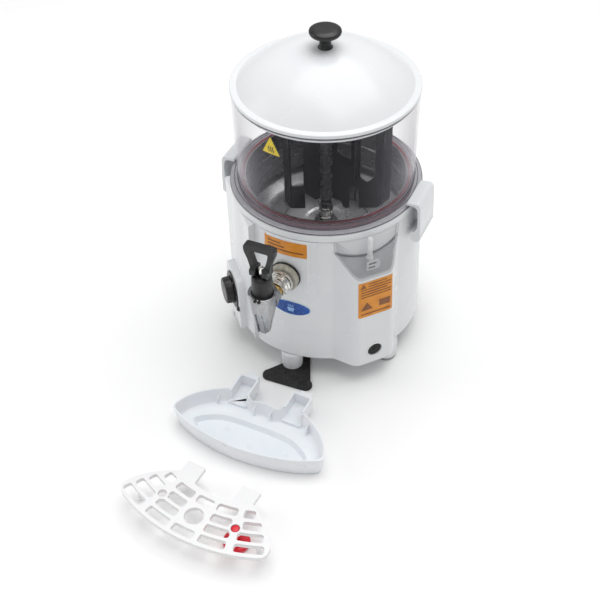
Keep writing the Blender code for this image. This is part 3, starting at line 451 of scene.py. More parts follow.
def lathe(name, profile, material, body, slot, nodes=(), radius=0.0008, sides=160, matrix=None,
          sharp=38.0):
    """Turned piece with rounded corners."""
    points, faces = lathe_data(soften(profile, radius), sides)
    return piece(name, points, faces, material, body, slot, nodes, sharp, matrix)


def loft_data(sections):
    """Points and faces through outlines of equal point count, capped at both ends."""
    count = len(sections[0])
    points = [point for section in sections for point in section]
    faces = []
    for low in range(len(sections) - 1):
        for index in range(count):
            nxt = (index + 1) % count
            faces.append((low * count + index, low * count + nxt,
                          (low + 1) * count + nxt, (low + 1) * count + index))
    faces.append(list(range(count))[::-1])
    faces.append([(len(sections) - 1) * count + index for index in range(count)])
    return points, faces


def prism_data(outline, low, high):
    return loft_data([[(x, y, z) for x, y in outline] for z in (low, high)])


def upright_data(outline, low, high):
    """Prism of an (x, z) outline between two values of y."""
    return loft_data([[(x, y, z) for x, z in outline] for y in (low, high)])


def rectangle(half, low, high):
    return [(-half, low), (half, low), (half, high), (-half, high)]


def box_data(low, high):
    outline = [(low[0], low[1]), (high[0], low[1]), (high[0], high[1]), (low[0], high[1])]
    return prism_data(outline, low[2], high[2])


def rod_data(radius, low, high, sides=48):
    return lathe_data([(0.0, low), (radius, low), (radius, high), (0.0, high)], sides)


def tool(data, matrix=None):
    """A closed shape used only for cutting or joining."""
    return piece("tool", data[0], data[1], WHITE, None, None, matrix=matrix)


def combine(target, other, operation):
    """Apply one exact Boolean and drop the other object."""
    modifier = target.modifiers.new("combine", "BOOLEAN")
    modifier.operation = operation
    modifier.solver = "EXACT"
    modifier.object = other
    bpy.context.view_layer.update()
    shape = target.evaluated_get(bpy.context.evaluated_depsgraph_get())
    result = bpy.data.meshes.new_from_object(shape)
    tidy = bmesh.new()
    tidy.from_mesh(result)
    bmesh.ops.remove_doubles(tidy, verts=tidy.verts, dist=0.000002)
    tidy.to_mesh(result)
    tidy.free()
    target.modifiers.clear()
    target.data = result
    bpy.data.objects.remove(other, do_unlink=True)
    return target


def round_edges(made, width, segments=3, angle=32.0):
    """Bevel every crisp edge of a finished solid."""
    bevel = made.modifiers.new("round_edges", "BEVEL")
    bevel.width = width
    bevel.segments = segments
    bevel.limit_method = "ANGLE"
    bevel.angle_limit = radians(angle)
    bevel.harden_normals = True
    return made


def facing(azimuth, distance=0.0, height=0.0):
    """Frame on the body: Z outwards, X sideways to the right, Y up."""
    angle = radians(azimuth)
    outward = Vector((sin(angle), -cos(angle), 0.0))
    sideways = Vector((cos(angle), sin(angle), 0.0))
    made = Matrix((sideways, Vector((0.0, 0.0, 1.0)), outward)).transposed().to_4x4()
    made.translation = outward * distance + Vector((0.0, 0.0, height))
    return made


def arc(centre, radius, start, end, steps):
    points = []
    for step in range(steps + 1):
        angle = radians(start + (end - start) * step / steps)
        points.append((centre[0] + radius * cos(angle), centre[1] + radius * sin(angle)))
    return points


def bow(first, middle, last, steps):
    """Points on the smooth curve that passes through three points."""
    points = []
    for step in range(steps + 1):
        t = step / steps
        a = 2.0 * (t - 0.5) * (t - 1.0)
        b = 4.0 * t * (1.0 - t)
        c = 2.0 * t * (t - 0.5)
        points.append(tuple(a * p + b * q + c * r for p, q, r in zip(first, middle, last)))
    return points


def rounded_outline(corners, radius, steps=6):
    """Round the corners of a closed polygon; a corner may carry its own radius."""
    count = len(corners)
    points = []
    for place in range(count):
        here = Vector(corners[place][:2])
        size = corners[place][2] if len(corners[place]) > 2 else radius
        back = Vector(corners[place - 1][:2]) - here
        ahead = Vector(corners[(place + 1) % count][:2]) - here
        if size <= 0.0:
            points.append(tuple(here))
            continue
        reach = min(size, 0.48 * back.length, 0.48 * ahead.length)
        points += [tuple(point) for point in corner_curve(here, back, ahead, reach, steps)]
    return points


def resample(outline, spacing):
    """Evenly spaced points along a closed outline."""
    ring = np.array(list(outline) + [outline[0]], float)
    steps = np.hypot(*np.diff(ring, axis=0).T)
    keep = np.concatenate([[True], steps > 1e-9])
    ring = ring[keep]
    along = np.concatenate([[0.0], np.cumsum(np.hypot(*np.diff(ring, axis=0).T))])
    count = int(along[-1] / spacing)
    want = np.linspace(0.0, along[-1], count, endpoint=False)
    return np.stack([np.interp(want, along, ring[:, 0]), np.interp(want, along, ring[:, 1])], 1)


def even(ring, count):
    """The same number of evenly spaced points along a closed ring, from its first point."""
    closed = np.vstack([ring, ring[:1]])
    along = np.concatenate([[0.0], np.cumsum(np.hypot(*np.diff(closed, axis=0).T))])
    want = np.linspace(0.0, along[-1], count, endpoint=False)
    return np.stack([np.interp(want, along, closed[:, 0]), np.interp(want, along, closed[:, 1])], 1)


def inset(outline, distance):
    """Move an anticlockwise outline inwards in small steps that never cross."""
    ring = np.asarray(outline, float)
    steps = max(1, int(np.ceil(abs(distance) / 0.0003)))
    for _ in range(steps):
        chord = np.roll(ring, -1, 0) - np.roll(ring, 1, 0)
        chord /= np.linalg.norm(chord, axis=1, keepdims=True)
        ring = ring + np.stack([-chord[:, 1], chord[:, 0]], 1) * distance / steps
        ring = 0.6 * ring + 0.2 * (np.roll(ring, -1, 0) + np.roll(ring, 1, 0))
        ring = even(ring, len(ring))
    return ring


# ------------------------------------------------------------------------ housing surface
def blend_max(a, b, width):
    share = np.clip(0.5 + 0.5 * (a - b) / width, 0.0, 1.0)
    return b + (a - b) * share + width * share * (1.0 - share)


def blend_min(a, b, width):
    return -blend_max(-a, -b, width)


def smooth_step(low, high, value):
    t = np.clip((value - low) / (high - low), 0.0, 1.0)
    return t * t * (3.0 - 2.0 * t)


def rectangle_distance(x, y, low_x, high_x, low_y, high_y, corner):
    """Signed distance to a rectangle with round corners, negative inside."""
    dx = np.abs(x - (low_x + high_x) / 2.0) - (high_x - low_x) / 2.0 + corner
    dy = np.abs(y - (low_y + high_y) / 2.0) - (high_y - low_y) / 2.0 + corner
    outside = np.hypot(np.maximum(dx, 0.0), np.maximum(dy, 0.0))
    return outside + np.minimum(np.maximum(dx, dy), 0.0) - corner


def ray_to(distance, normal_angle, angle):
    """How far a ray from the axis goes to a wall with this distance and facing."""
    slope = np.cos(angle - normal_angle)
    return np.where(slope > 0.15, distance / np.maximum(slope, 0.15), 1.0)


def body_radius(height):
    return BODY_RADIUS + DRAFT * (BODY_TOP + 0.004 - height)


def gauge_walls(angle, height):
    """Radius of the gauge block: a face and two slanting sides."""
    centre = radians(GAUGE_AZ)
    grow = DRAFT * np.maximum(0.19 - height, 0.0)
    face = ray_to(GAUGE_FACE + 0.001 + grow, centre, angle)
    lean = atan2(0.0285, 0.0204)
    reach = GAUGE_HALF * sin(lean) + GAUGE_FACE * cos(lean)
    left = ray_to(reach + grow, centre - lean, angle)
    right = ray_to(reach + grow, centre + lean, angle)
    return blend_min(face, blend_min(left, right, 0.004), 0.009)


def housing_radius(azimuth, height):
    """Outer surface of the housing as a radius for each azimuth (degrees) and height."""
    angle = np.radians(azimuth)
    radius = body_radius(height) + 0.0 * angle
    # stepped panel behind the tap
    along = angle * 0.130
    outer = rectangle_distance(along, height, -0.0420, 0.0420, 0.1410, 0.40, 0.010)
    inner = rectangle_distance(along, height, -0.0297, 0.0297, 0.1480, 0.40, 0.008)
    radius = radius + 0.0015 * (1.0 - smooth_step(-0.0008, 0.0003, outer))
    radius = radius + 0.0015 * (1.0 - smooth_step(-0.0008, 0.0003, inner))
    # faint parting line low on the body
    radius = radius - 0.0004 * np.exp(-((height - 0.079) / 0.0005) ** 2)
    # gauge block, its top cut back along a slope for the clear window
    slope = (SPLIT_FRONT - height) / SPLIT_SLOPE
    ledge = ray_to(GAUGE_FACE + slope, radians(GAUGE_AZ), angle)
    ledge = np.where(slope > 0.0, 1.0, ledge)
    block = blend_min(gauge_walls(angle, height), ledge, 0.0012)
    near = np.abs(azimuth - GAUGE_AZ) < 45.0
    radius = np.where(near, blend_max(radius, block, 0.0022), radius)
    # thermostat boss
    turn = angle - radians(BOSS_AZ)
    near = np.abs(turn) < radians(25.0)
    lateral = BOSS_FACE * np.tan(np.clip(turn, -0.6, 0.6))
    edge = rectangle_distance(lateral, height, -BOSS_HALF, BOSS_HALF, -0.05, BOSS_TOP, 0.015)
    face = BOSS_FACE - 0.0135 * smooth_step(-0.0022, 0.0014, edge)
    boss = np.where(near, face / np.cos(np.clip(turn, -0.6, 0.6)), 0.0)
    radius = np.where(near, blend_max(radius, boss, 0.0018), radius)
    # rounded foot edge
    roll = 0.0035
    low = np.clip((BODY_LOW + roll - height) / roll, 0.0, 1.0)
    return radius - roll * (1.0 - np.sqrt(1.0 - 0.98 * low ** 2))


def surface_point(azimuth, height, lift=0.0):
    """Point on the housing, and lifted off it."""
    radius = float(housing_radius(np.array(float(azimuth)), np.array(float(height)))) + lift
    return (radius * sin(radians(azimuth)), -radius * cos(radians(azimuth)), height)


def stops(spans):
    """Joined ranges of values, each (start, end, step)."""
    values = []
    for start, end, step in spans:
        count = max(1, round((end - start) / step))
        values += list(np.linspace(start, end, count, endpoint=False))
    return np.array(values)


def make_housing():
    azimuths = stops(((-180, -72, 2.0), (-72, -26, 0.45), (-26, -10, 0.28), (-10, 10, 1.4),
                      (10, 24, 0.28), (24, 74, 0.45), (74, 180, 2.0)))
    heights = stops(((BODY_LOW + 0.0001, BODY_LOW + 0.004, 0.0005), (BODY_LOW + 0.004, 0.076, 0.003),
                     (0.076, 0.082, 0.0004), (0.082, 0.100, 0.003), (0.100, 0.124, 0.0007),
                     (0.124, 0.138, 0.003), (0.138, 0.152, 0.0006), (0.152, 0.180, 0.003),
                     (0.180, 0.222, 0.0009), (0.222, BODY_TOP - 0.0014, 0.003)))
    heights = np.append(heights, BODY_TOP - 0.0014)
    grid_az, grid_z = np.meshgrid(azimuths, heights, indexing="ij")
    radii = housing_radius(grid_az, grid_z)
    columns = []
    for row, azimuth in enumerate(azimuths):
        edge = radii[row, -1]
        profile = [(0.1262, BODY_LOW + 0.0001), (0.1262, 0.0400), (0.1240, 0.2320), (0.1182, 0.2326)]
        profile += [(0.1180, BODY_TOP - 0.0006), (0.1186, BODY_TOP), (edge - 0.0014, BODY_TOP),
                    (edge - 0.0004, BODY_TOP - 0.0004)]
        profile += list(zip(radii[row][::-1], heights[::-1]))
        east = sin(radians(azimuth))
        north = -cos(radians(azimuth))
        columns.append([(r * east, r * north, z) for r, z in profile])
    count = len(columns[0])
    points = [point for column in columns for point in column]
    faces = []
    for row in range(len(columns)):
        here = row * count
        there = ((row + 1) % len(columns)) * count
        for place in range(count):
            nxt = (place + 1) % count
            faces.append((here + place, here + nxt, there + nxt, there + place))
    housing = piece("housing_shell", points, faces, WHITE, None, None)
    combine(housing, tool(rod_data(0.0110, 0.1340, 0.170, 64), facing(GAUGE_AZ, 0.0, DRAIN_Z)),
            "DIFFERENCE")
    inlet = box_data((-INLET_HALF, 0.115, INLET_LOW), (INLET_HALF, 0.150, INLET_HIGH))
    combine(housing, tool(inlet), "DIFFERENCE")
    hang(housing, WHITE, "machine", ["base_housing"])


def make_housing_fittings():
    """Lip of the drain hole, hinge ears of the clips and the pad of the inlet."""
    centre = facing(GAUGE_AZ, 0.0, DRAIN_Z)
    face = GAUGE_FACE + 0.001 + DRAFT * (0.19 - DRAIN_Z)
    lip = [(0.0104, face - 0.003), (0.0126, face - 0.003), (0.0126, face + 0.0009),
           (0.0104, face + 0.0009)]
    lathe("drain_hole_lip", lip, WHITE, "machine", "white_plastic", sides=72, matrix=centre)
    for side, name in ((-1.0, "left_clip_ear"), (1.0, "right_clip_ear")):
        ring = rounded_outline([(0.1268, CLIP_Z - 0.0040, 0.0), (CLIP_X, CLIP_Z - 0.0040),
                                (CLIP_X + 0.0040, CLIP_Z - 0.0040), (CLIP_X + 0.0040, CLIP_Z + 0.0040),
                                (0.1268, CLIP_Z + 0.0040, 0.0)], 0.004, 8)
        ring = [(side * x, z) for x, z in ring]
        ear = piece(name, *upright_data(ring, -0.0078, 0.0078), WHITE, "machine", "white_plastic")
        round_edges(ear, 0.0006)
    outline = rounded_outline(rectangle(0.021, 0.0440, 0.0820), 0.004)
    hole = rounded_outline(rectangle(INLET_HALF, INLET_LOW, INLET_HIGH), 0.002)
    pad = piece("inlet_pad", *upright_data(outline, 0.1290, 0.1348), WHITE, "machine", "white_plastic")
    combine(pad, tool(upright_data(hole, 0.1200, 0.1500)), "DIFFERENCE")
    hang(pad, WHITE, "machine")
    round_edges(pad, 0.0012)


# --------------------------------------------------------------------------------- decals
def decal(name, material, body, slot, rows, place, thickness=0.00016):
    """Thin closed sheet on a surface: rows of (v, left u, right u), place(u, v, lift)."""
    across = 14
    points = []
    for lift in (0.0, thickness):
        for v, left, right in rows:
            for step in range(across + 1):
                points.append(place(left + (right - left) * step / across, v, lift))
    width = across + 1
    layer = width * len(rows)
    faces = []
    for row in range(len(rows) - 1):
        for step in range(across):
            a = row * width + step
            faces.append((a, a + width, a + width + 1, a + 1))
            faces.append((layer + a, layer + a + 1, layer + a + width + 1, layer + a + width))
    border = list(range(across)) + [row * width + across for row in range(len(rows) - 1)]
    border += [(len(rows) - 1) * width + step for step in range(across, 0, -1)]
    border += [row * width for row in range(len(rows) - 1, 0, -1)]
    for place_in, here in enumerate(border):
        nxt = border[(place_in + 1) % len(border)]
        faces.append((here, nxt, layer + nxt, layer + here))
    return piece(name, points, faces, material, body, slot, sharp=60.0)


DEGREES_PER_METRE = 440.0   # sideways angle for each metre along the body


def bar_rows(low, high, left, right, corner=0.0, steps=6):
    """Rows of a rectangle with round corners."""
    rows = []
    for step in range(steps + 1):
        v = low + (high - low) * step / steps
        rows.append((v, left, right))
    if corner > 0.0:
        ease = []
        for step in range(5):
            angle = radians(90.0 * step / 4)
            ease.append((corner * (1 - cos(angle)), DEGREES_PER_METRE * corner * (1 - sin(angle))))
        rows = [(low + rise, left + cut, right - cut) for rise, cut in ease]
        rows += [(low + corner + (high - low - 2 * corner) * step / steps, left, right)
                 for step in range(1, steps)]
        rows += [(high - rise, left + cut, right - cut) for rise, cut in reversed(ease)]
    return rows


def triangle_rows(low, high, middle, half, steps=8):
    """Rows of an upright triangle with a blunt tip."""
    return [(low + (high - low) * step / steps, middle - half * (1 - 0.94 * step / steps),
             middle + half * (1 - 0.94 * step / steps)) for step in range(steps + 1)]


def oval_rows(middle_u, middle_v, half_u, half_v, steps=18):
    rows = []
    for step in range(steps + 1):
        angle = radians(-88.0 + 176.0 * step / steps)
        rows.append((middle_v + half_v * sin(angle), middle_u - half_u * cos(angle),
                     middle_u + half_u * cos(angle)))
    return rows


def on_body(u, v, lift, base=0.0003):
    """Sideways angle u in degrees and height v on the housing."""
    return surface_point(u, v, lift + base)


def make_labels():
    """Plain coloured labels with bars and simple signs in place of any wording."""
    decal("front_label", ORANGE, "machine", "white_plastic", bar_rows(0.2105, 0.2330, -14.2, 12.5, 0.0014),
          on_body)
    raised = 0.0006

    def above(u, v, lift):
        return on_body(u, v, lift, raised)

    for row, (left, right) in enumerate(((-11.5, -3.0), (-11.5, -1.0), (-11.5, 10.5))):
        v = 0.2275 - 0.0052 * row
        decal(f"front_label_bar_{row}", BROWN, "machine", "white_plastic",
              bar_rows(v - 0.0009, v + 0.0009, left, right, steps=2), above)
    # label on the gauge block
    u0, u1 = GAUGE_AZ - 9.4, GAUGE_AZ + 9.6
    decal("side_label", ORANGE, "machine", "white_plastic",
          bar_rows(0.1205, 0.1800, u0, u1, 0.0010), on_body)
    decal("side_label_sign", BROWN, "machine", "white_plastic",
          triangle_rows(0.1705, 0.1775, u0 + 2.6, 1.7), above)
    for row in range(6):
        v = 0.1762 - 0.0042 * row
        end = u1 - (1.0 if row % 3 else 3.4)
        start = u0 + (5.2 if row < 2 else 1.4)
        decal(f"side_label_bar_{row}", BROWN, "machine", "white_plastic",
              bar_rows(v - 0.0007, v + 0.0007, start, end, steps=2), above)
    decal("side_label_left_sign", BROWN, "machine", "white_plastic",
          triangle_rows(0.1330, 0.1450, u0 + 4.6, 3.2), above)
    decal("side_label_right_sign", BROWN, "machine", "white_plastic",
          bar_rows(0.1335, 0.1440, u1 - 7.6, u1 - 1.6, 0.0), above)
    decal("side_label_foot_bar", BROWN, "machine", "white_plastic",
          bar_rows(0.1250, 0.1268, u0 + 1.4, u1 - 1.4, steps=2), above)
    # plain oval badge with a cup sign
    decal("badge_rim", SKY, "machine", "white_plastic", oval_rows(2.0, 0.1190, 11.9, 0.0114), on_body)

    def on_badge(u, v, lift):
        return on_body(u, v, lift, 0.0005)

    def on_sign(u, v, lift):
        return on_body(u, v, lift, 0.0007)

    decal("badge_field", BLUE, "machine", "white_plastic", oval_rows(2.0, 0.1190, 11.5, 0.0108), on_badge)
    cup = [(0.1135 + 0.0062 * step / 6, 2.0 - 1.5 - 0.12 * step, 2.0 + 1.5 + 0.12 * step)
           for step in range(7)]
    decal("badge_cup", SKY, "machine", "white_plastic", cup, on_sign)
    for step in range(3):
        middle = 0.7 + 1.3 * step
        wisp = [(0.1210 + 0.0040 * k / 6, middle - 0.24 + 0.3 * sin(k * 1.0),
                 middle + 0.24 + 0.3 * sin(k * 1.0)) for k in range(7)]
        decal(f"badge_wisp_{step}", SKY, "machine", "white_plastic", wisp, on_sign)


# ------------------------------------------------------------------ bezel, bowl, lid, pan
def make_bezel():
    low, high = BEZEL_LOW.z, BEZEL_HIGH.z
    ring = [(0.1166, low), (0.1272, low), (0.1285, low + 0.0012, 0.0015),
            (0.1285, high - 0.0020, 0.002), (0.1275, high, 0.001), (0.1166, high)]
    lathe("bezel", ring, WHITE, "machine", "white_plastic", ["bezel_ring"])
    low = GASKET_LOW.z
    high = BOWL_LOW.z + 0.0080
    seal = [(0.1086, low), (0.1134, low), (0.1136, low + 0.005), (0.1131, low + 0.0065),
            (0.1136, low + 0.008), (0.1134, high - 0.001, 0.001), (0.1120, high), (0.1086, high)]
    lathe("red_seal", seal, SILICONE, "machine", "red_rubber", ["bowl_gasket"])


def make_bowl():
    foot, top = BOWL_LOW.z, BOWL_HIGH.z
    step = foot + 0.0092
    wall = [(0.1142, step), (0.1172, step), (0.1174, 0.2800), (0.1188, 0.3500),
            (0.1192, top - 0.0022), (0.1164, top - 0.0022), (0.1158, 0.3500), (0.1144, 0.2800)]
    lathe("clear_bowl", wall, CLEAR, "machine", "clear_plastic", ["bowl"], sides=192)
    flange = [(0.1140, foot), (0.1270, foot, 0.0008), (0.1270, foot + 0.0042, 0.0015),
              (0.1215, foot + 0.0044, 0.003), (0.1172, step - 0.0003, 0.0004),
              (0.1142, step - 0.0003, 0.0004), (0.1140, foot + 0.0040)]
    lathe("clear_bowl_foot", flange, CLEAR_FOOT, "machine", "clear_plastic", sides=192)
    # thin dark bands: painted shadow under the lid's rim at the top, painted dark edge lines where the clear
    # wall turns
    shade_bands = (("top", 0.1164, 0.1193, top - 0.0020, top), ("step", 0.1173, 0.1182, step, step + 0.0012),
             ("inner", 0.1134, 0.1141, step - 0.0002, step + 0.0010),
             ("bend", 0.1212, 0.1220, foot + 0.0046, foot + 0.0056),
             ("rim", 0.1271, 0.1277, foot + 0.0004, foot + 0.0018))
    for label, inside, outside, low, high in shade_bands:
        band = [(inside, low), (outside, low), (outside, high), (inside, high)]
        lathe(f"clear_bowl_{label}_edge", band, CLEAR_EDGE_SHADE, "machine", "clear_plastic",
              radius=0.0003, sides=192)


def dome(radius):
    flat = 0.3915
    share = min(1.0, radius / 0.1115)
    return flat + 0.0471 * (1.0 - share ** 2.32)


def make_lid():
    rim = LID_LOW.z + 0.0083
    outer = [(0.1201, rim, 0.0009), (0.1201, 0.3915, 0.0016), (0.1150, 0.3916, 0.002)]
    outer += [(0.1115 * (1.0 - step / 26), dome(0.1115 * (1.0 - step / 26)), 0.0)
              for step in range(27)]
    inner = [(0.1090 * step / 26, dome(0.1115 * step / 26) - 0.0025, 0.0) for step in range(26)]
    inner += [(0.1085, 0.3892, 0.001), (0.1130, 0.3889, 0.001), (0.1130, LID_LOW.z, 0.0006),
              (0.1150, LID_LOW.z, 0.0006), (0.1150, rim, 0.0004)]
    lathe("domed_lid", outer + inner, WHITE, "lid", "white_plastic", ["lid"], sides=192)
    apex = dome(0.0)
    top = KNOB_HIGH.z
    knob = [(0.0, apex + 0.0003), (0.0096, apex + 0.0003, 0.0004), (0.0080, apex + 0.0026, 0.0015),
            (0.0072, apex + 0.0060, 0.002), (0.0074, apex + 0.0110, 0.003),
            (0.0120, apex + 0.0158, 0.004), (0.0180, apex + 0.0172, 0.002),
            (0.0202, apex + 0.0200, 0.0016), (0.0200, top - 0.0030, 0.003),
            (0.0150, top - 0.0004, 0.005), (0.0, top)]
    lathe("mushroom_knob", knob, BLACK, "lid", "black_plastic", ["lid_knob"], radius=0.001, sides=96)


def make_pan():
    """Deep pressed pan with rings in its wall."""
    floor = PAN_LOW.z
    rim = PAN_HIGH.z
    collar = BOWL_LOW.z + 0.0082
    inner = [(0.1068, collar, 0.0004), (0.1062, collar, 0.0004), (0.1050, rim, 0.002)]
    for height in (rim - 0.0100, rim - 0.0420):
        inner += [(0.1050, height, 0.001), (0.1036, height - 0.0020, 0.001),
                  (0.1036, height - 0.0060, 0.001), (0.1050, height - 0.0080, 0.001)]
    inner += [(0.1050, floor + 0.0130, 0.010), (0.0900, floor + 0.0014, 0.012),
              (0.0600, floor + 0.0014, 0.001), (0.0580, floor + 0.0024, 0.001),
              (0.0300, floor + 0.0024, 0.001), (0.0280, floor + 0.0014, 0.001)]
    inner += [(0.0150, floor + 0.0014, 0.002), (0.0100, floor + 0.0060, 0.002)]
    outer = [(0.0100, floor), (0.0965, floor, 0.006), (0.1062, floor + 0.010, 0.006),
             (0.1062, rim - 0.002, 0.0004), (0.1160, rim - 0.002, 0.0004), (0.1160, rim, 0.0004),
             (0.1084, rim, 0.0004), (0.1082, collar, 0.0004)]
    lathe("pressed_pan", outer + inner, STEEL, "machine", "brushed_steel", ["product_pan", "pan_wall"],
          radius=0.001, sides=160)
    hub = [(0.0048, floor + 0.0030), (0.0105, floor + 0.0030), (0.0105, floor + 0.0120),
           (0.0088, floor + 0.0135), (0.0088, 0.1900), (0.0098, 0.1905), (0.0098, 0.1950),
           (0.0088, 0.1955), (0.0088, 0.2050), (0.0048, 0.2050)]
    lathe("shaft_hub", hub, CHROME, "machine", "chrome", radius=0.0005, sides=64)


def make_mixer():
    """Upright blade with windows and cross fins on the drive tube."""
    low, high = span("agitator")
    spin = Matrix.Rotation(radians(MIXER_TURN), 4, "Z")
    base = low.z
    top = high.z - 0.004
    thick = 0.0016

    def upright(outline):
        return upright_data(outline, -thick, thick)

    long_blade = [(0.0060, base + 0.0185), (0.0200, base + 0.012), (0.0240, base, 0.003),
                  (0.0700, base, 0.004), (0.0860, base + 0.016, 0.004), (0.0860, top, 0.005),
                  (0.0060, top)]
    short_blade = [(-0.0060, base + 0.0185), (-0.0060, top), (-0.0560, top, 0.005),
                   (-0.0560, base + 0.010, 0.004), (-0.0480, base, 0.003), (-0.0240, base, 0.003),
                   (-0.0150, base + 0.014)]
    blade = piece("mixer_blade", *upright(rounded_outline(long_blade, 0.0012)), MIXER, None, None,
                  matrix=spin)
    combine(blade, tool(upright(rounded_outline(short_blade[::-1], 0.0012)), spin), "UNION")
    tube = [(0.0044, 0.2100), (0.0085, 0.2100), (0.0085, high.z), (0.0044, high.z)]
    windows = ([(0.0455, 0.2420, 0.004), (0.0555, 0.2330, 0.004), (0.0650, 0.2420, 0.004),
                (0.0650, 0.3300), (0.0455, 0.3300)],
               [(0.0150, 0.2860, 0.003), (0.0330, 0.2700, 0.003), (0.0330, 0.3300), (0.0150, 0.3300)],
               [(0.0315, 0.1850), (0.0440, 0.1850), (0.0440, 0.2220, 0.003), (0.0380, 0.2290, 0.005),
                (0.0315, 0.2290, 0.003)],
               [(-0.0460, 0.2280), (-0.0300, 0.2280), (-0.0300, 0.3300), (-0.0460, 0.3300)],
               [(-0.0285, 0.1850), (-0.0110, 0.1850), (-0.0110, 0.2040), (-0.0285, 0.2180)])
    for window in windows:
        ring = rounded_outline(window, 0.0025)
        combine(blade, tool(upright_data(ring, -0.01, 0.01), spin), "DIFFERENCE")
    for place, reach in ((-0.0500, 0.016), (0.0390, 0.018), (0.0760, 0.016)):
        ring = rounded_outline(rectangle(reach, 0.2120, 0.3370), 0.006)
        sections = [[(x, y, z) for y, z in ring] for x in (place - 0.0012, place + 0.0012)]
        combine(blade, tool(loft_data(sections), spin), "UNION")
    combine(blade, tool(rod_data(0.0070, 0.180, 0.400, 64)), "DIFFERENCE")
    hang(blade, MIXER, "agitator", ["agitator"])
    round_edges(blade, 0.0005, 2)
    lathe("mixer_tube", tube, TUBE, "agitator", "black_plastic", radius=0.0006, sides=64)
    cap_low = span("agitator_cap")[0].z
    cap = [(0.0, cap_low), (0.0085, cap_low), (0.0085, cap_low + 0.0020, 0.001),
           (0.0060, cap_low + 0.0060, 0.002), (0.0, cap_low + 0.0066)]
    lathe("mixer_cap", cap, MIXER, "agitator", "black_plastic", ["agitator_cap"], sides=64)


# --------------------------------------------------------------------- gauge and controls
def make_gauge():
    """Clear open pocket that shows the water level."""
    azimuths = np.linspace(GAUGE_AZ - 21.0, GAUGE_AZ + 21.0, 90)
    angle = np.radians(azimuths)
    centre = radians(GAUGE_AZ)
    radius = gauge_walls(angle, np.full_like(angle, 0.20)) - 0.0002
    outer = np.stack([radius * np.sin(angle), -radius * np.cos(angle)], 1)
    depth = radius * np.cos(angle - centre)
    foot = SPLIT_FRONT + SPLIT_SLOPE * (GAUGE_FACE - depth) + 0.0012
    share = np.clip(np.abs(azimuths - GAUGE_AZ) / 21.0, 0.0, 1.0)
    rim = 0.2268 + 0.0085 * smooth_step(0.55, 1.0, share)
    gradient = np.gradient(outer, axis=0)
    normal = np.stack([gradient[:, 1], -gradient[:, 0]], 1)
    normal /= np.linalg.norm(normal, axis=1, keepdims=True)
    normal *= np.sign((normal * outer).sum(1, keepdims=True))
    wall = 0.0022
    foot = np.minimum(foot, rim - 0.003)
    rows = ((0.0, 0.0006, 0.0), (0.0, 0.5, 0.5), (0.0, 1.0, -0.0030), (0.0012, 1.0, -0.0022),
            (0.0012, 1.0, -0.0005), (0.0006, 1.0, 0.0), (-wall, 1.0, 0.0), (-wall - 0.0006, 1.0, -0.0005),
            (-wall, 1.0, -0.0022), (-wall, 0.5, 0.5), (-wall, 0.0, 0.0))
    points = []
    for proud, share_up, extra in rows:
        ring = outer + normal * proud
        if abs(extra) > 0.1:
            height = foot + (rim - foot) * share_up
        else:
            height = foot + (rim - foot) * share_up + extra
        points += [(x, y, z) for (x, y), z in zip(ring, height)]
    count = len(azimuths)
    faces = []
    for row in range(len(rows)):
        low = row * count
        high = ((row + 1) % len(rows)) * count
        for place in range(count - 1):
            faces.append((low + place, low + place + 1, high + place + 1, high + place))
    faces.append([row * count for row in range(len(rows))])
    faces.append([row * count + count - 1 for row in range(len(rows))])
    # the pocket's dark grey tint is painted shade
    piece("gauge_pocket", points, faces, CLEAR_GAUGE_SHADED, "machine", "clear_plastic", ["gauge_window"])
    # sloping clear floor of the pocket
    ring = outer - normal * (wall + 0.0002)
    ring_angle = np.degrees(np.arctan2(ring[:, 0], -ring[:, 1]))
    back = [(body_radius(0.20) + 0.0012) * np.array((sin(radians(a)), -cos(radians(a))))
            for a in ring_angle[::-1]]
    plan = [tuple(p) for p in ring] + [tuple(p) for p in back]
    outward = np.array((sin(centre), -cos(centre)))
    sections = []
    for lift in (0.0008, 0.0024):
        level = [SPLIT_FRONT + SPLIT_SLOPE * (GAUGE_FACE - float(np.dot(p, outward))) + lift + 0.0012
                 for p in plan]
        sections.append([(p[0], p[1], min(z, 0.2330)) for p, z in zip(plan, level)])
    piece("gauge_floor", *loft_data(sections), CLEAR_GAUGE_SHADED, "machine", "clear_plastic", sharp=60.0)
    # level plate with two marks, and the float's rod
    front = facing(GAUGE_AZ, 0.0, 0.0)
    outline = rounded_outline([(-0.0112, 0.1945, 0.0015), (0.0060, 0.1945, 0.0015),
                               (0.0086, 0.2020, 0.004), (0.0060, 0.2095, 0.0015),
                               (-0.0112, 0.2095, 0.0015)], 0.001)
    piece("level_card", *prism_data(outline, 0.1430, 0.1440), PALE, "machine", "white_plastic",
          ["level_plate"], matrix=front)
    for mark, (v, width) in enumerate(((0.2050, 0.0110), (0.1990, 0.0095))):
        bar = rounded_outline([(-0.0088, v - 0.0011), (-0.0088 + width, v - 0.0011),
                               (-0.0088 + width, v + 0.0011), (-0.0088, v + 0.0011)], 0.0006)
        piece(f"level_mark_{mark}", *prism_data(bar, 0.14405, 0.1442), DARK, "machine",
              "black_plastic", matrix=front)
    low, high = span("gauge_float")
    x, y = (low.x + high.x) / 2.0, (low.y + high.y) / 2.0
    rod = [(0.0, low.z), (0.0045, low.z), (0.0045, low.z + 0.0030), (0.0034, low.z + 0.0042),
           (0.0034, high.z - 0.0030, 0.002), (0.0, high.z)]
    lathe("float_rod", rod, PALE, "gauge_float", "white_plastic", ["gauge_float"], sides=48,
          matrix=Matrix.Translation((x, y, 0.0)))


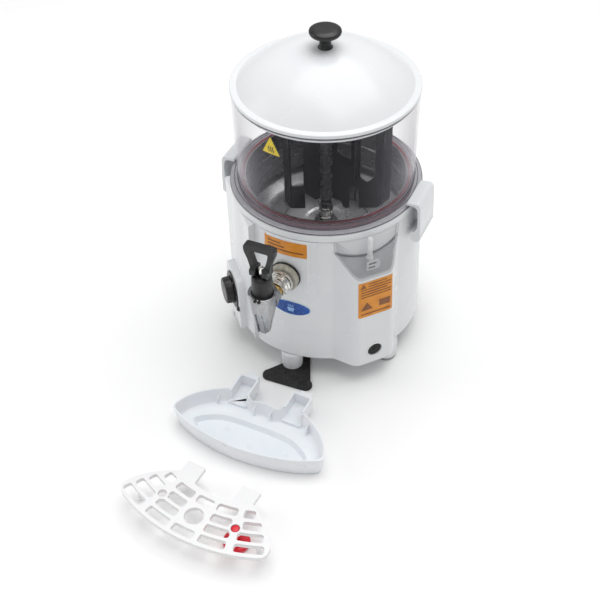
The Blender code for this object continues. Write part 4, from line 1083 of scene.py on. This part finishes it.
def make_controls():
    place = facing(BOSS_AZ, 0.0, DIAL_Z)
    low = BOSS_FACE + 0.0003
    plate = [(0.0036, low), (0.0270, low), (0.0266, low + 0.0015), (0.0036, low + 0.0015)]
    lathe("dial_face", plate, BLACK, "machine", "black_plastic", ["dial_plate"], radius=0.0005,
          sides=96, matrix=place)
    for mark in range(11):
        angle = radians(225.0 - 27.0 * mark)
        size = 0.0016 if mark % 5 else 0.0026
        turn = place @ Matrix.Rotation(angle, 4, "Z")
        bar = [(0.0212, -0.00035), (0.0212 + size, -0.00035), (0.0212 + size, 0.00035), (0.0212, 0.00035)]
        piece(f"dial_mark_{mark}", *prism_data(bar, low + 0.00155, low + 0.00175), PALE, "machine",
              "black_plastic", matrix=turn)
    base = BOSS_FACE + 0.0021
    sides = 144
    profile = soften([(0.0, base - 0.003), (0.0030, base - 0.003), (0.0030, base), (0.0195, base),
                      (0.0195, base + 0.0022), (0.0186, base + 0.0105, 0.0012),
                      (0.0160, base + 0.0115, 0.0008), (0.0152, base + 0.0108, 0.0008), (0.0, base + 0.0106)],
                     0.0006)
    points, faces = lathe_data(profile, sides)
    fluted = []
    for x, y, z in points:
        radius = hypot(x, y)
        grip = 0.5 + 0.5 * cos(24.0 * atan2(y, x))
        if radius > 0.0175 and z > base + 0.0030:
            scale = 1.0 - 0.028 * grip ** 3
            x, y = x * scale, y * scale
        fluted.append((x, y, z))
    piece("thermostat_grip", fluted, faces, BLACK, "thermostat_knob", "black_plastic",
          ["thermostat_knob"], sharp=50.0, matrix=place)
    insert = [(0.0, base + 0.0107), (0.0150, base + 0.0107), (0.0148, base + 0.0113), (0.0, base + 0.0113)]
    lathe("thermostat_insert", insert, GREY, "thermostat_knob", "black_plastic", radius=0.0002, sides=96,
          matrix=place)
    bar = rounded_outline(rectangle(0.0009, 0.0030, 0.0130), 0.0005)
    piece("thermostat_pointer", *prism_data(bar, base + 0.01135, base + 0.0116), DARK,
          "thermostat_knob", "black_plastic", matrix=place)
    lamp_place = place @ Matrix.Translation((0.0280, -0.014, 0.0))
    collar = [(0.0, low), (0.0038, low), (0.0038, low + 0.0016), (0.0028, low + 0.0020), (0.0, low + 0.0020)]
    lathe("lamp_collar", collar, BLACK, "machine", "black_plastic", ["pilot_lamp"], radius=0.0004,
          sides=40, matrix=lamp_place)
    lens = [(0.0, low + 0.0021), (0.0024, low + 0.0021), (0.0022, low + 0.0030, 0.001), (0.0, low + 0.0034)]
    lathe("lamp_lens", lens, DARK, "machine", "black_plastic", radius=0.0004, sides=32,
          matrix=lamp_place)


def make_drain():
    face = facing(GAUGE_AZ, 0.0, DRAIN_Z)
    sleeve = [(0.0079, 0.1345), (0.0103, 0.1345), (0.0103, 0.1495), (0.0079, 0.1495)]
    lathe("drain_sleeve", sleeve, BRASS, "machine", "brass", ["drain_spigot"], radius=0.0004, sides=64,
          matrix=face)
    plug = [(0.0, 0.138), (0.0074, 0.138), (0.0074, 0.1497), (0.0100, 0.1498, 0.0004),
            (0.0100, 0.1507, 0.0006), (0.0052, 0.1510), (0.0034, 0.1512), (0.0034, 0.1524, 0.0010),
            (0.0, 0.1526)]
    lathe("rubber_plug", plug, RUBBER, "drain_plug", "black_rubber", ["drain_plug"], radius=0.0006,
          sides=64, matrix=face)


# ------------------------------------------------------------------------------------ tap
def make_tap():
    front = facing(0.0, 0.0, TAP_Z)
    washer = [(0.0104, 0.1322), (0.0207, 0.1322), (0.0207, 0.1346), (0.0104, 0.1346)]
    lathe("tap_washer", washer, RUBBER, "machine", "black_rubber", ["tap_gasket"], sides=96, matrix=front)
    dish = [(0.0104, 0.1349), (0.0197, 0.1349), (0.0197, 0.1428, 0.0012), (0.0176, 0.1434),
            (0.0104, 0.1434)]
    lathe("tap_dish", dish, BEIGE, "machine", "chrome", radius=0.0006, sides=96, matrix=front)
    # knurled nut: small flutes round the rim
    sides = 240
    profile = soften([(0.0104, 0.1437), (0.0160, 0.1437), (0.0164, 0.1443), (0.0164, 0.1486),
                      (0.0158, 0.1492), (0.0104, 0.1492)], 0.0004, 3)
    points, faces = lathe_data(profile, sides)
    knurled = []
    for x, y, z in points:
        radius = hypot(x, y)
        if radius > 0.0152:
            scale = 1.0 + 0.020 * cos(40.0 * atan2(y, x))
            x, y = x * scale, y * scale
        knurled.append((x, y, z))
    piece("knurled_nut", knurled, faces, CHROME, "machine", "chrome", ["tap_nut"], 50.0, front)
    rings = [(0.0104, 0.1495), (0.0132, 0.1495), (0.0132, 0.1503),
             (0.0148, 0.1507), (0.0148, 0.1530), (0.0134, 0.1538), (0.0134, 0.1552), (0.0143, 0.1560),
             (0.0145, 0.1580), (0.0122, 0.1590), (0.0122, 0.1650), (0.0104, 0.1650)]
    lathe("tap_rings", rings, CHROME, "machine", "chrome", radius=0.0005, sides=96, matrix=front)
    pipe = [(0.0060, PAN_RADIUS_OUT), (0.0100, PAN_RADIUS_OUT), (0.0100, 0.1697), (0.0060, 0.1697)]
    lathe("threaded_pipe", pipe, BRASS, "machine", "chrome", ["tap_pipe"], radius=0.0003, sides=64,
          matrix=front)
    spot = Matrix.Translation((0.0, TAP_Y, 0.0))
    outer = [(0.0062, 0.1405), (0.0078, 0.1405, 0.0005), (0.0084, 0.1420, 0.001), (0.0110, 0.1560, 0.01),
             (0.0147, 0.1730, 0.01), (0.0162, 0.1840, 0.004), (0.0165, 0.1985, 0.0012),
             (0.0188, 0.2002, 0.0012), (0.0188, 0.2052, 0.0014), (0.0178, 0.2060, 0.0008)]
    inner = [(0.0139, 0.2060, 0.0004), (0.0139, 0.1990, 0.0004), (0.0125, 0.1980, 0.0006),
             (0.0125, 0.1800, 0.003), (0.0090, 0.1500, 0.002), (0.0062, 0.1470, 0.001)]
    points, faces = lathe_data(soften(outer + inner, 0.0005), 128)
    body = piece("tap_casting", points, faces, SATIN, None, None, matrix=spot)
    neck = soften([(0.0, 0.1700), (0.0104, 0.1700), (0.0118, 0.1712), (0.0118, 0.1760),
                   (0.0130, 0.1850), (0.0, 0.1850)], 0.0008)
    bore = tool(rod_data(0.0124, TAP_Z - 0.03, TAP_Z + 0.0195, 96), spot)
    arm = tool(lathe_data(neck, 96), front)
    combine(arm, bore, "DIFFERENCE")
    combine(body, arm, "UNION")
    hang(body, SATIN, "machine", ["tap_body"])
    for side in (-1.0, 1.0):
        rib = rounded_outline([(0.0058, 0.1412), (0.0092, 0.1412), (0.0158, 0.1760), (0.0120, 0.1760)],
                              0.0004, 3)
        sections = [[(side * 0.0046 + y, TAP_Y - x, z) for x, z in rib] for y in (-0.0006, 0.0006)]
        rib_piece = piece(f"tap_rib_{'left' if side < 0 else 'right'}", *loft_data(sections), SATIN,
                          "machine", "chrome")
        round_edges(rib_piece, 0.0004, 2)
    bonnet = [(0.0052, 0.2312), (0.0100, 0.2300), (0.0104, 0.1994), (0.0135, 0.1994),
              (0.0136, 0.2150), (0.0132, 0.2290, 0.003), (0.0118, 0.2332, 0.003), (0.0052, 0.2332)]
    lathe("tap_bonnet_cap", bonnet, BLACK, "machine", "black_plastic", ["tap_bonnet"], sides=96,
          matrix=spot)
    clip = [(0.0, 0.0), (0.0022, 0.0), (0.0022, 0.0034), (0.0, 0.0040)]
    for side in (-1.0, 1.0):
        where = Matrix.Translation((side * 0.0026 + 0.0015, TAP_Y - 0.0172, 0.2040))
        lathe(f"bonnet_stud_{'left' if side < 0 else 'right'}", clip, BLACK, "machine",
              "black_plastic", radius=0.0004, sides=32,
              matrix=where @ Matrix.Rotation(radians(70.0), 4, "X"))
    stem = [(0.0, 0.1515), (0.0035, 0.1515), (0.0035, 0.1600), (0.0040, 0.1610), (0.0040, 0.2100),
            (0.0092, 0.2105), (0.0092, 0.2125), (0.0044, 0.2130), (0.0044, 0.2438),
            (0.0034, 0.2452), (0.0, 0.2455)]
    lathe("tap_stem", stem, CHROME, "tap_plunger", "chrome", ["tap_plunger"], radius=0.0004, sides=48,
          matrix=spot)
    make_lever()


def make_lever():
    """Loop handle with a round-edged frame on a cam foot."""
    top = span("tap_lever")[1].z
    outline = rounded_outline([(-0.0108, 0.2385, 0.003), (0.0108, 0.2385, 0.003), (0.0128, 0.2440, 0.004),
                               (0.0152, 0.2560, 0.010), (0.0206, 0.2690, 0.008), (0.0208, top, 0.0060),
                               (-0.0208, top, 0.0060), (-0.0206, 0.2690, 0.008),
                               (-0.0152, 0.2560, 0.010), (-0.0128, 0.2440, 0.004)], 0.002, 8)
    hole = rounded_outline([(-0.0064, 0.2474), (0.0064, 0.2474), (0.0102, 0.2610, 0.006),
                            (0.0122, 0.2716, 0.003), (-0.0122, 0.2716, 0.003),
                            (-0.0102, 0.2610, 0.006)], 0.0025, 6)
    half = 0.0045
    lever = piece("loop_handle", *upright_data(outline, TAP_Y - half, TAP_Y + half), BLACK, None, None)
    combine(lever, tool(upright_data(hole, TAP_Y - 0.02, TAP_Y + 0.02)), "DIFFERENCE")
    foot = arc((-0.0045, -0.0030), 0.0050, 180.0, 270.0, 10)
    foot += [(0.0075, -0.0080), (0.0085, -0.0070), (0.0085, 0.0025), (0.0045, 0.0055),
             (-0.0045, 0.0055), (-0.0095, 0.0025)]
    sections = [[(x, TAP_Y + y, LEVER_Z + z) for y, z in foot] for x in (-0.0120, 0.0120)]
    combine(lever, tool(loft_data(sections)), "UNION")
    combine(lever, tool(box_data((-0.0049, TAP_Y - 0.020, 0.2300), (0.0049, TAP_Y + 0.020, 0.2490))),
            "DIFFERENCE")
    hang(lever, BLACK, "tap_lever", ["tap_lever"])
    round_edges(lever, 0.0024, 4)


# -------------------------------------------------------------------------- clips and legs
def make_clip(side, body, node):
    hook = BOWL_LOW.z + 0.0048
    outline = arc((CLIP_X, CLIP_Z), 0.0072, 180.0, 340.0, 16)
    outline += [(0.1436, 0.2250)]
    outline += bow((0.1425, 0.2460), (0.1402, 0.2548), (0.1340, 0.2565), 10)
    outline += [(0.1240, 0.2560), (0.1222, 0.2540), (0.1222, hook), (0.1330, hook)]
    outline += [(0.1370, 0.2495), (0.1388, 0.2430), (0.1392, 0.2200), (0.1362, 0.2130),
                (0.1300, 0.2100)]
    half = 0.0270
    outline = [(side * x, z) for x, z in outline]
    clip = piece(body + "_cover", *upright_data(outline, -half, half), WHITE, None, None)
    low = min(side * 0.1250, side * (CLIP_X + 0.0052))
    high = max(side * 0.1250, side * (CLIP_X + 0.0052))
    combine(clip, tool(box_data((low, -0.0088, CLIP_Z - 0.009), (high, 0.0088, CLIP_Z + 0.0056))),
            "DIFFERENCE")
    hang(clip, WHITE, body, [node])
    round_edges(clip, 0.0009, 3)
    rod = rod_data(0.0018, -0.0232, 0.0232, 32)
    lying = Matrix.Translation((side * CLIP_X, 0.0, CLIP_Z)) @ Matrix.Rotation(radians(90.0), 4, "X")
    piece(node + "_axle", *rod, STEEL, "machine", "brushed_steel", [node + "_pin"], matrix=lying)


def make_legs():
    for name in ("front_leg", "right_leg", "left_leg", "rear_leg"):
        low, high = span(name)
        spot = Matrix.Translation(((low.x + high.x) / 2.0, (low.y + high.y) / 2.0, 0.0))
        radius = (high.x - low.x) / 2.0
        leg = [(0.0, low.z), (radius - 0.0010, low.z, 0.0008), (radius, high.z - 0.002, 0.001),
               (radius, high.z), (0.0, high.z)]
        lathe(name + "_post", leg, WHITE, "machine", "white_plastic", [name], sides=72, matrix=spot)
        if name != "front_leg":
            node = name[:-4] + "_pad"
            low, high = span(node)
            pad = [(0.0, low.z), (radius - 0.0015, low.z), (radius - 0.0010, high.z), (0.0, high.z)]
            lathe(name + "_rubber", pad, PAD, "machine", "black_rubber", [node], radius=0.0007,
                  sides=72, matrix=spot)
    # three discs and the straight edges between them
    discs = ((-0.0205, -0.1550, 127.2, 271.6), (0.0335, -0.1535, 271.6, 426.1),
             (0.0140, -0.1095, 426.1, 487.2))
    ring = [point for x, y, start, end in discs for point in arc((x, y), 0.0095, start, end, 16)]
    high = span("triangular_foot")[1].z
    foot = piece("rubber_foot", *prism_data(ring, 0.0, high), RUBBER, "machine", "black_rubber",
                 ["triangular_foot"])
    round_edges(foot, 0.0008, 3)


# ---------------------------------------------------------------------------- tray and grid
def placed(point, turn):
    return Matrix.Translation((point[0], point[1], 0.0)) @ Matrix.Rotation(radians(turn), 4, "Z")


def mirrored(points):
    return points + [(-x, y) for x, y in reversed(points) if abs(x) > 1e-9]


def tray_plan():
    front = bow((0.0, -0.0912), (0.0560, -0.0848), (0.1000, -0.0690), 20)
    tip = bow((0.1045, -0.0667), (0.1097, -0.0610), (0.1085, -0.0520), 8)
    back = bow((0.1030, -0.0400), (0.0830, -0.0180), (0.0550, -0.0002), 14)
    notch = [(0.0257, -0.0015), (0.0200, -0.0085)]
    notch += bow((0.0165, -0.0095), (0.0110, -0.0072), (0.0, -0.0045), 8)
    return resample(mirrored(front + tip + back + notch), 0.0016)


def make_tray():
    place = placed(TRAY_PLACE, TRAY_TURN)
    rim = tray_plan()
    top = TRAY_HIGH.z
    wall = 0.0026
    rows = [(0.0058, 0.0), (0.0048, 0.0004), (0.0042, 0.0016), (0.0020, 0.0160), (0.0004, top - 0.0012),
            (0.0006, top - 0.0004), (0.0012, top), (wall - 0.0006, top), (wall, top - 0.0006),
            (wall + 0.0004, top - 0.0016), (wall + 0.0022, 0.0175), (wall + 0.0036, 0.0126),
            (wall + 0.0048, 0.0112), (wall + 0.0064, 0.0106)]
    sections = [[(x, y, z) for x, y in inset(rim, depth)] for depth, z in rows]
    points, faces = loft_data(sections)
    tray = piece("tray_shell", points, faces, TRAY, None, None, matrix=place)
    basin = bow((0.0, -0.0800), (0.0440, -0.0752), (0.0790, -0.0625), 10)
    basin += bow((0.0840, -0.0560), (0.0780, -0.0470), (0.0600, -0.0360), 6)
    basin += bow((0.0480, -0.0320), (0.0240, -0.0300), (0.0, -0.0300), 6)
    plan = resample(mirrored(basin), 0.0016)
    cuts = [(0.0052, 0.0030), (0.0040, 0.0032), (0.0032, 0.0042), (0.0006, 0.0104), (-0.0006, 0.0112),
            (-0.0030, 0.0140)]
    sections = [[(x, y, z) for x, y in inset(plan, depth)] for depth, z in cuts]
    combine(tray, tool(loft_data(sections), place), "DIFFERENCE")
    inner, outer, reach = 0.0257, 0.0542, 0.0275
    for side in (-1.0, 1.0):
        low = min(side * inner, side * outer)
        high = max(side * inner, side * outer)
        ring = rounded_outline([(low, -0.0055, 0.0), (high, -0.0055, 0.0), (high, reach, 0.002),
                                (low, reach, 0.002)], 0.002, 4)
        arm = tool(prism_data(ring, 0.0105, top), place)
        catch = rounded_outline([(low + 0.0075, reach - 0.004), (high - 0.0035, reach - 0.004),
                                 (high - 0.0035, reach + 0.0078), (low + 0.0075, reach + 0.0078)],
                                0.0015, 4)
        combine(arm, tool(prism_data(catch, 0.0160, 0.0290), place), "UNION")
        ring = rounded_outline([(low + wall, -0.0130, 0.0), (high - wall, -0.0130, 0.0),
                                (high - wall, reach - wall, 0.0015), (low + wall, reach - wall, 0.0015)],
                               0.0015, 4)
        combine(arm, tool(prism_data(ring, 0.0140, 0.050), place), "DIFFERENCE")
        combine(tray, arm, "UNION")
        sill = box_data((low + 0.001, -0.0120, 0.0090), (high - 0.001, 0.0, 0.0150))
        combine(tray, tool(sill, place), "UNION")
        gate = box_data((low + wall, -0.0125, 0.0146), (high - wall, 0.0060, 0.050))
        combine(tray, tool(gate, place), "DIFFERENCE")
    # small ribs on the rear wall inside
    for x in (-0.066, -0.012, 0.012, 0.066):
        y = -0.0140 if abs(x) < 0.02 else -0.0155
        rib = box_data((x - 0.0006, y - 0.004, 0.0100), (x + 0.0006, y + 0.0060, 0.0235))
        combine(tray, tool(rib, place), "UNION")
    hang(tray, TRAY, "drip_tray", ["drip_tray"], sharp=30.0)
    round_edges(tray, 0.0005, 2, 50.0)
    tray.modifiers["round_edges"].harden_normals = False


GRID_CENTRE = 0.1555
GRID_ROWS = (0.2249, 0.2087, 0.1926, 0.1760)


def grid_point(radius, angle):
    return (radius * sin(radians(angle)), GRID_CENTRE - radius * cos(radians(angle)))


def slot_ring(radius, start, end, width=0.0118):
    """Curved slot with fully rounded corners."""
    half = width / 2.0
    corner = 0.0036
    ease = corner / radius * 180.0 / pi
    points = []
    for step in range(9):
        points.append(grid_point(radius + half, start + ease + (end - start - 2 * ease) * step / 8))
    for step in range(1, 6):
        t = radians(90.0 * step / 6)
        points.append(grid_point(radius + half - corner * (1 - cos(t)), end - ease + ease * sin(t)))
    for step in range(1, 6):
        t = radians(90.0 * step / 6)
        points.append(grid_point(radius - half + corner * (1 - sin(t)), end - ease + ease * cos(t)))
    for step in range(9):
        points.append(grid_point(radius - half, end - ease - (end - start - 2 * ease) * step / 8))
    for step in range(1, 6):
        t = radians(90.0 * step / 6)
        points.append(grid_point(radius - half + corner * (1 - cos(t)), start + ease - ease * sin(t)))
    for step in range(1, 6):
        t = radians(90.0 * step / 6)
        points.append(grid_point(radius + half - corner * (1 - sin(t)), start + ease - ease * cos(t)))
    return points


def grid_slots():
    inner, middle, outer = 4.7, 15.7, 26.4
    gap = 0.8
    ends = (outer, outer - 0.6, outer - 1.8, outer - 4.7)
    slots = []
    for row, radius in enumerate(GRID_ROWS):
        lean = 2.0 if row == 2 else 1.2
        for start, stop in ((inner + gap, middle - lean), (middle + lean, ends[row])):
            slots.append(slot_ring(radius, start, stop))
            slots.append(slot_ring(radius, -stop, -start))
        if row in (0, 3):
            slots.append(slot_ring(radius, gap - inner, inner - gap))
    return slots


def make_grid():
    place = placed(GRID_PLACE, GRID_TURN)
    top = GRID_HIGH.z
    low = top - 0.006
    front = [grid_point(0.2356, a) for a in np.linspace(0.0, 24.5, 22)]
    tip = bow((0.1010, -0.0566), (0.1052, -0.0500), (0.1040, -0.0390), 8)
    back = bow((0.0990, -0.0310), (0.0790, -0.0115), (0.0533, 0.0049), 12)
    tab = [(0.0533, 0.0225), (0.0279, 0.0225), (0.0270, -0.0030)]
    tab += bow((0.0240, -0.0046), (0.0120, -0.0076), (0.0, -0.0083), 8)
    plan = mirrored(front + tip + back + tab)
    grid = piece("grid_plate", *prism_data(plan, low, top), TRAY, None, None, matrix=place)
    for x, y in ((0.0870, -0.0385), (-0.0870, -0.0385), (0.0405, 0.0130), (-0.0405, 0.0130)):
        combine(grid, tool(rod_data(0.0031, 0.0, low + 0.001, 32),
                           place @ Matrix.Translation((x, y, 0.0))), "UNION")
    points, faces = [], []
    for ring in grid_slots():
        more_points, more_faces = prism_data(ring, low - 0.004, top + 0.004)
        faces += [[index + len(points) for index in face] for face in more_faces]
        points += more_points
    combine(grid, tool((points, faces), place), "DIFFERENCE")
    for radius, x, y in ((0.0124, 0.0, -0.0451), (0.0058, -0.0532, -0.0358), (0.0058, 0.0532, -0.0358)):
        where = place @ Matrix.Translation((x, y, 0.0))
        if x:
            combine(grid, tool(rod_data(0.0086, low + 0.0002, top - 0.0002, 64), where), "UNION")
        combine(grid, tool(rod_data(radius, low - 0.004, top + 0.004, 64), where), "DIFFERENCE")
    hang(grid, SNOW, "drip_grid", ["drip_grid"], sharp=30.0)
    round_edges(grid, 0.0007, 3, 50.0)
    middle = (FLOAT_LOW + FLOAT_HIGH) / 2.0
    body = [(0.0, 0.0), (0.0150, 0.0, 0.001), (0.0168, 0.0018, 0.002), (0.0168, 0.0062, 0.002),
            (0.0150, 0.0080, 0.001), (0.0052, 0.0086, 0.002), (0.0052, top - 0.0002, 0.0014),
            (0.0, top)]
    lathe("float_body", body, RED, "tray_float", "red_plastic", ["tray_float"], sides=72,
          matrix=Matrix.Translation((middle.x, middle.y, 0.0)))


# --------------------------------------------------------------- bowl sign, carried pieces
def make_bowl_sign():
    """Yellow warning triangle with heat waves, on the outside of the bowl."""
    def on_bowl(u, v, lift):
        radius = 0.1186 + 0.014 * (v - 0.33) + lift
        return (radius * sin(radians(u)), -radius * cos(radians(u)), v)

    middle = SIGN_AZ
    decal("heat_sign_edge", DARK, "machine", "clear_plastic",
          triangle_rows(SIGN_LOW, SIGN_LOW + 0.0268, middle, 7.0, 14), on_bowl, 0.0002)
    decal("heat_sign_field", YELLOW, "machine", "clear_plastic",
          triangle_rows(SIGN_LOW + 0.0012, SIGN_LOW + 0.0244, middle, 6.0, 14),
          lambda u, v, lift: on_bowl(u, v, lift + 0.0002), 0.0002)
    for step in (-1, 0, 1):
        wisp = [(SIGN_LOW + 0.0040 + 0.0080 * k / 8, middle + 1.5 * step - 0.32 + 0.35 * sin(0.9 * k),
                 middle + 1.5 * step + 0.32 + 0.35 * sin(0.9 * k)) for k in range(9)]
        decal(f"heat_sign_wave_{step + 1}", DARK, "machine", "clear_plastic", wisp,
              lambda u, v, lift: on_bowl(u, v, lift + 0.0004), 0.0002)


FINISHES = {"white_plastic": WHITE, "black_plastic": BLACK, "black_rubber": RUBBER,
            "red_rubber": SILICONE, "red_plastic": RED, "clear_plastic": CLEAR,
            "brushed_steel": STEEL, "chrome": CHROME, "brass": BRASS, "aluminium": ALLOY}


def finish_carried_nodes():
    """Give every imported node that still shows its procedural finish."""
    for row in frame["record"]["subparts"]:
        node = frame["nodes"][row["node"]]
        finish_material = FINISHES[row["material_slot"]]
        if not node.material_slots:
            node.data.materials.append(finish_material)
        for slot in node.material_slots:
            slot.material = finish_material


# --------------------------------------------------------------------------------- studio
def make_studio():
    floor = bpy.data.meshes.new("floor")
    size = 6.0
    floor.from_pydata([(-size, -size, 0), (size, -size, 0), (size, size, 0), (-size, size, 0)], [],
                      [(0, 1, 2, 3)])
    ground = bpy.data.objects.new("floor", floor)
    paper = Shader("paper", (0.93, 0.93, 0.93), 0.7)
    paper.vary_colour((0.925, 0.925, 0.925), (0.935, 0.935, 0.935), 3.0)
    floor.materials.append(paper.material)
    bpy.context.scene.collection.objects.link(ground)
    ground.location.z = -0.0002

    world = bpy.data.worlds.new("studio")
    world.use_nodes = True
    world.node_tree.nodes["Background"].inputs["Color"].default_value = (1.0, 1.0, 1.0, 1.0)
    world.node_tree.nodes["Background"].inputs["Strength"].default_value = WORLD_LIGHT
    bpy.context.scene.world = world

    for name, spot, size, power, aim in LIGHTS:
        data = bpy.data.lights.new(name, "AREA")
        data.shape = "RECTANGLE"
        data.size, data.size_y = size
        data.energy = power
        lamp = bpy.data.objects.new(name, data)
        lamp.location = Vector(spot)
        lamp.rotation_euler = (Vector(aim) - Vector(spot)).to_track_quat("-Z", "Y").to_euler()
        bpy.context.scene.collection.objects.link(lamp)
    bpy.context.scene.view_settings.view_transform = "Standard"


def make_camera():
    """Camera at the viewing angle of the reference."""
    swing, distance, height = 23.3236, 1.1827, 1.1266
    pitch, yaw, roll = 43.112, 1.8982, -1.5902
    lens_pixels, frame_pixels = 1100.0, 600.0
    data = bpy.data.cameras.new("view")
    data.sensor_width = 36.0
    data.lens = 36.0 * lens_pixels / frame_pixels
    data.clip_start = 0.05
    camera = bpy.data.objects.new("view", data)
    angle = radians(swing)
    where = Vector((distance * sin(angle), -distance * cos(angle), height)) + AXIS
    heading = radians(swing + yaw)
    dip = radians(pitch)
    forward = Vector((-sin(heading) * cos(dip), cos(heading) * cos(dip), -sin(dip)))
    right = Vector((cos(heading), sin(heading), 0.0))
    upward = right.cross(forward)
    bank = radians(roll)
    across = right * cos(bank) + upward * sin(bank)
    upward = upward * cos(bank) - right * sin(bank)
    turn = Matrix((across, upward, -forward)).transposed()
    camera.matrix_world = Matrix.Translation(where) @ turn.to_4x4()
    bpy.context.scene.collection.objects.link(camera)
    bpy.context.scene.camera = camera


make_camera()
make_studio()
finish_carried_nodes()
make_housing()
make_housing_fittings()
make_labels()
make_bezel()
make_bowl()
make_bowl_sign()
make_lid()
make_pan()
make_mixer()
make_gauge()
make_controls()
make_drain()
make_tap()
make_clip(-1.0, "left_clip", "left_clip")
make_clip(1.0, "right_clip", "right_clip")
make_legs()
make_tray()
make_grid()
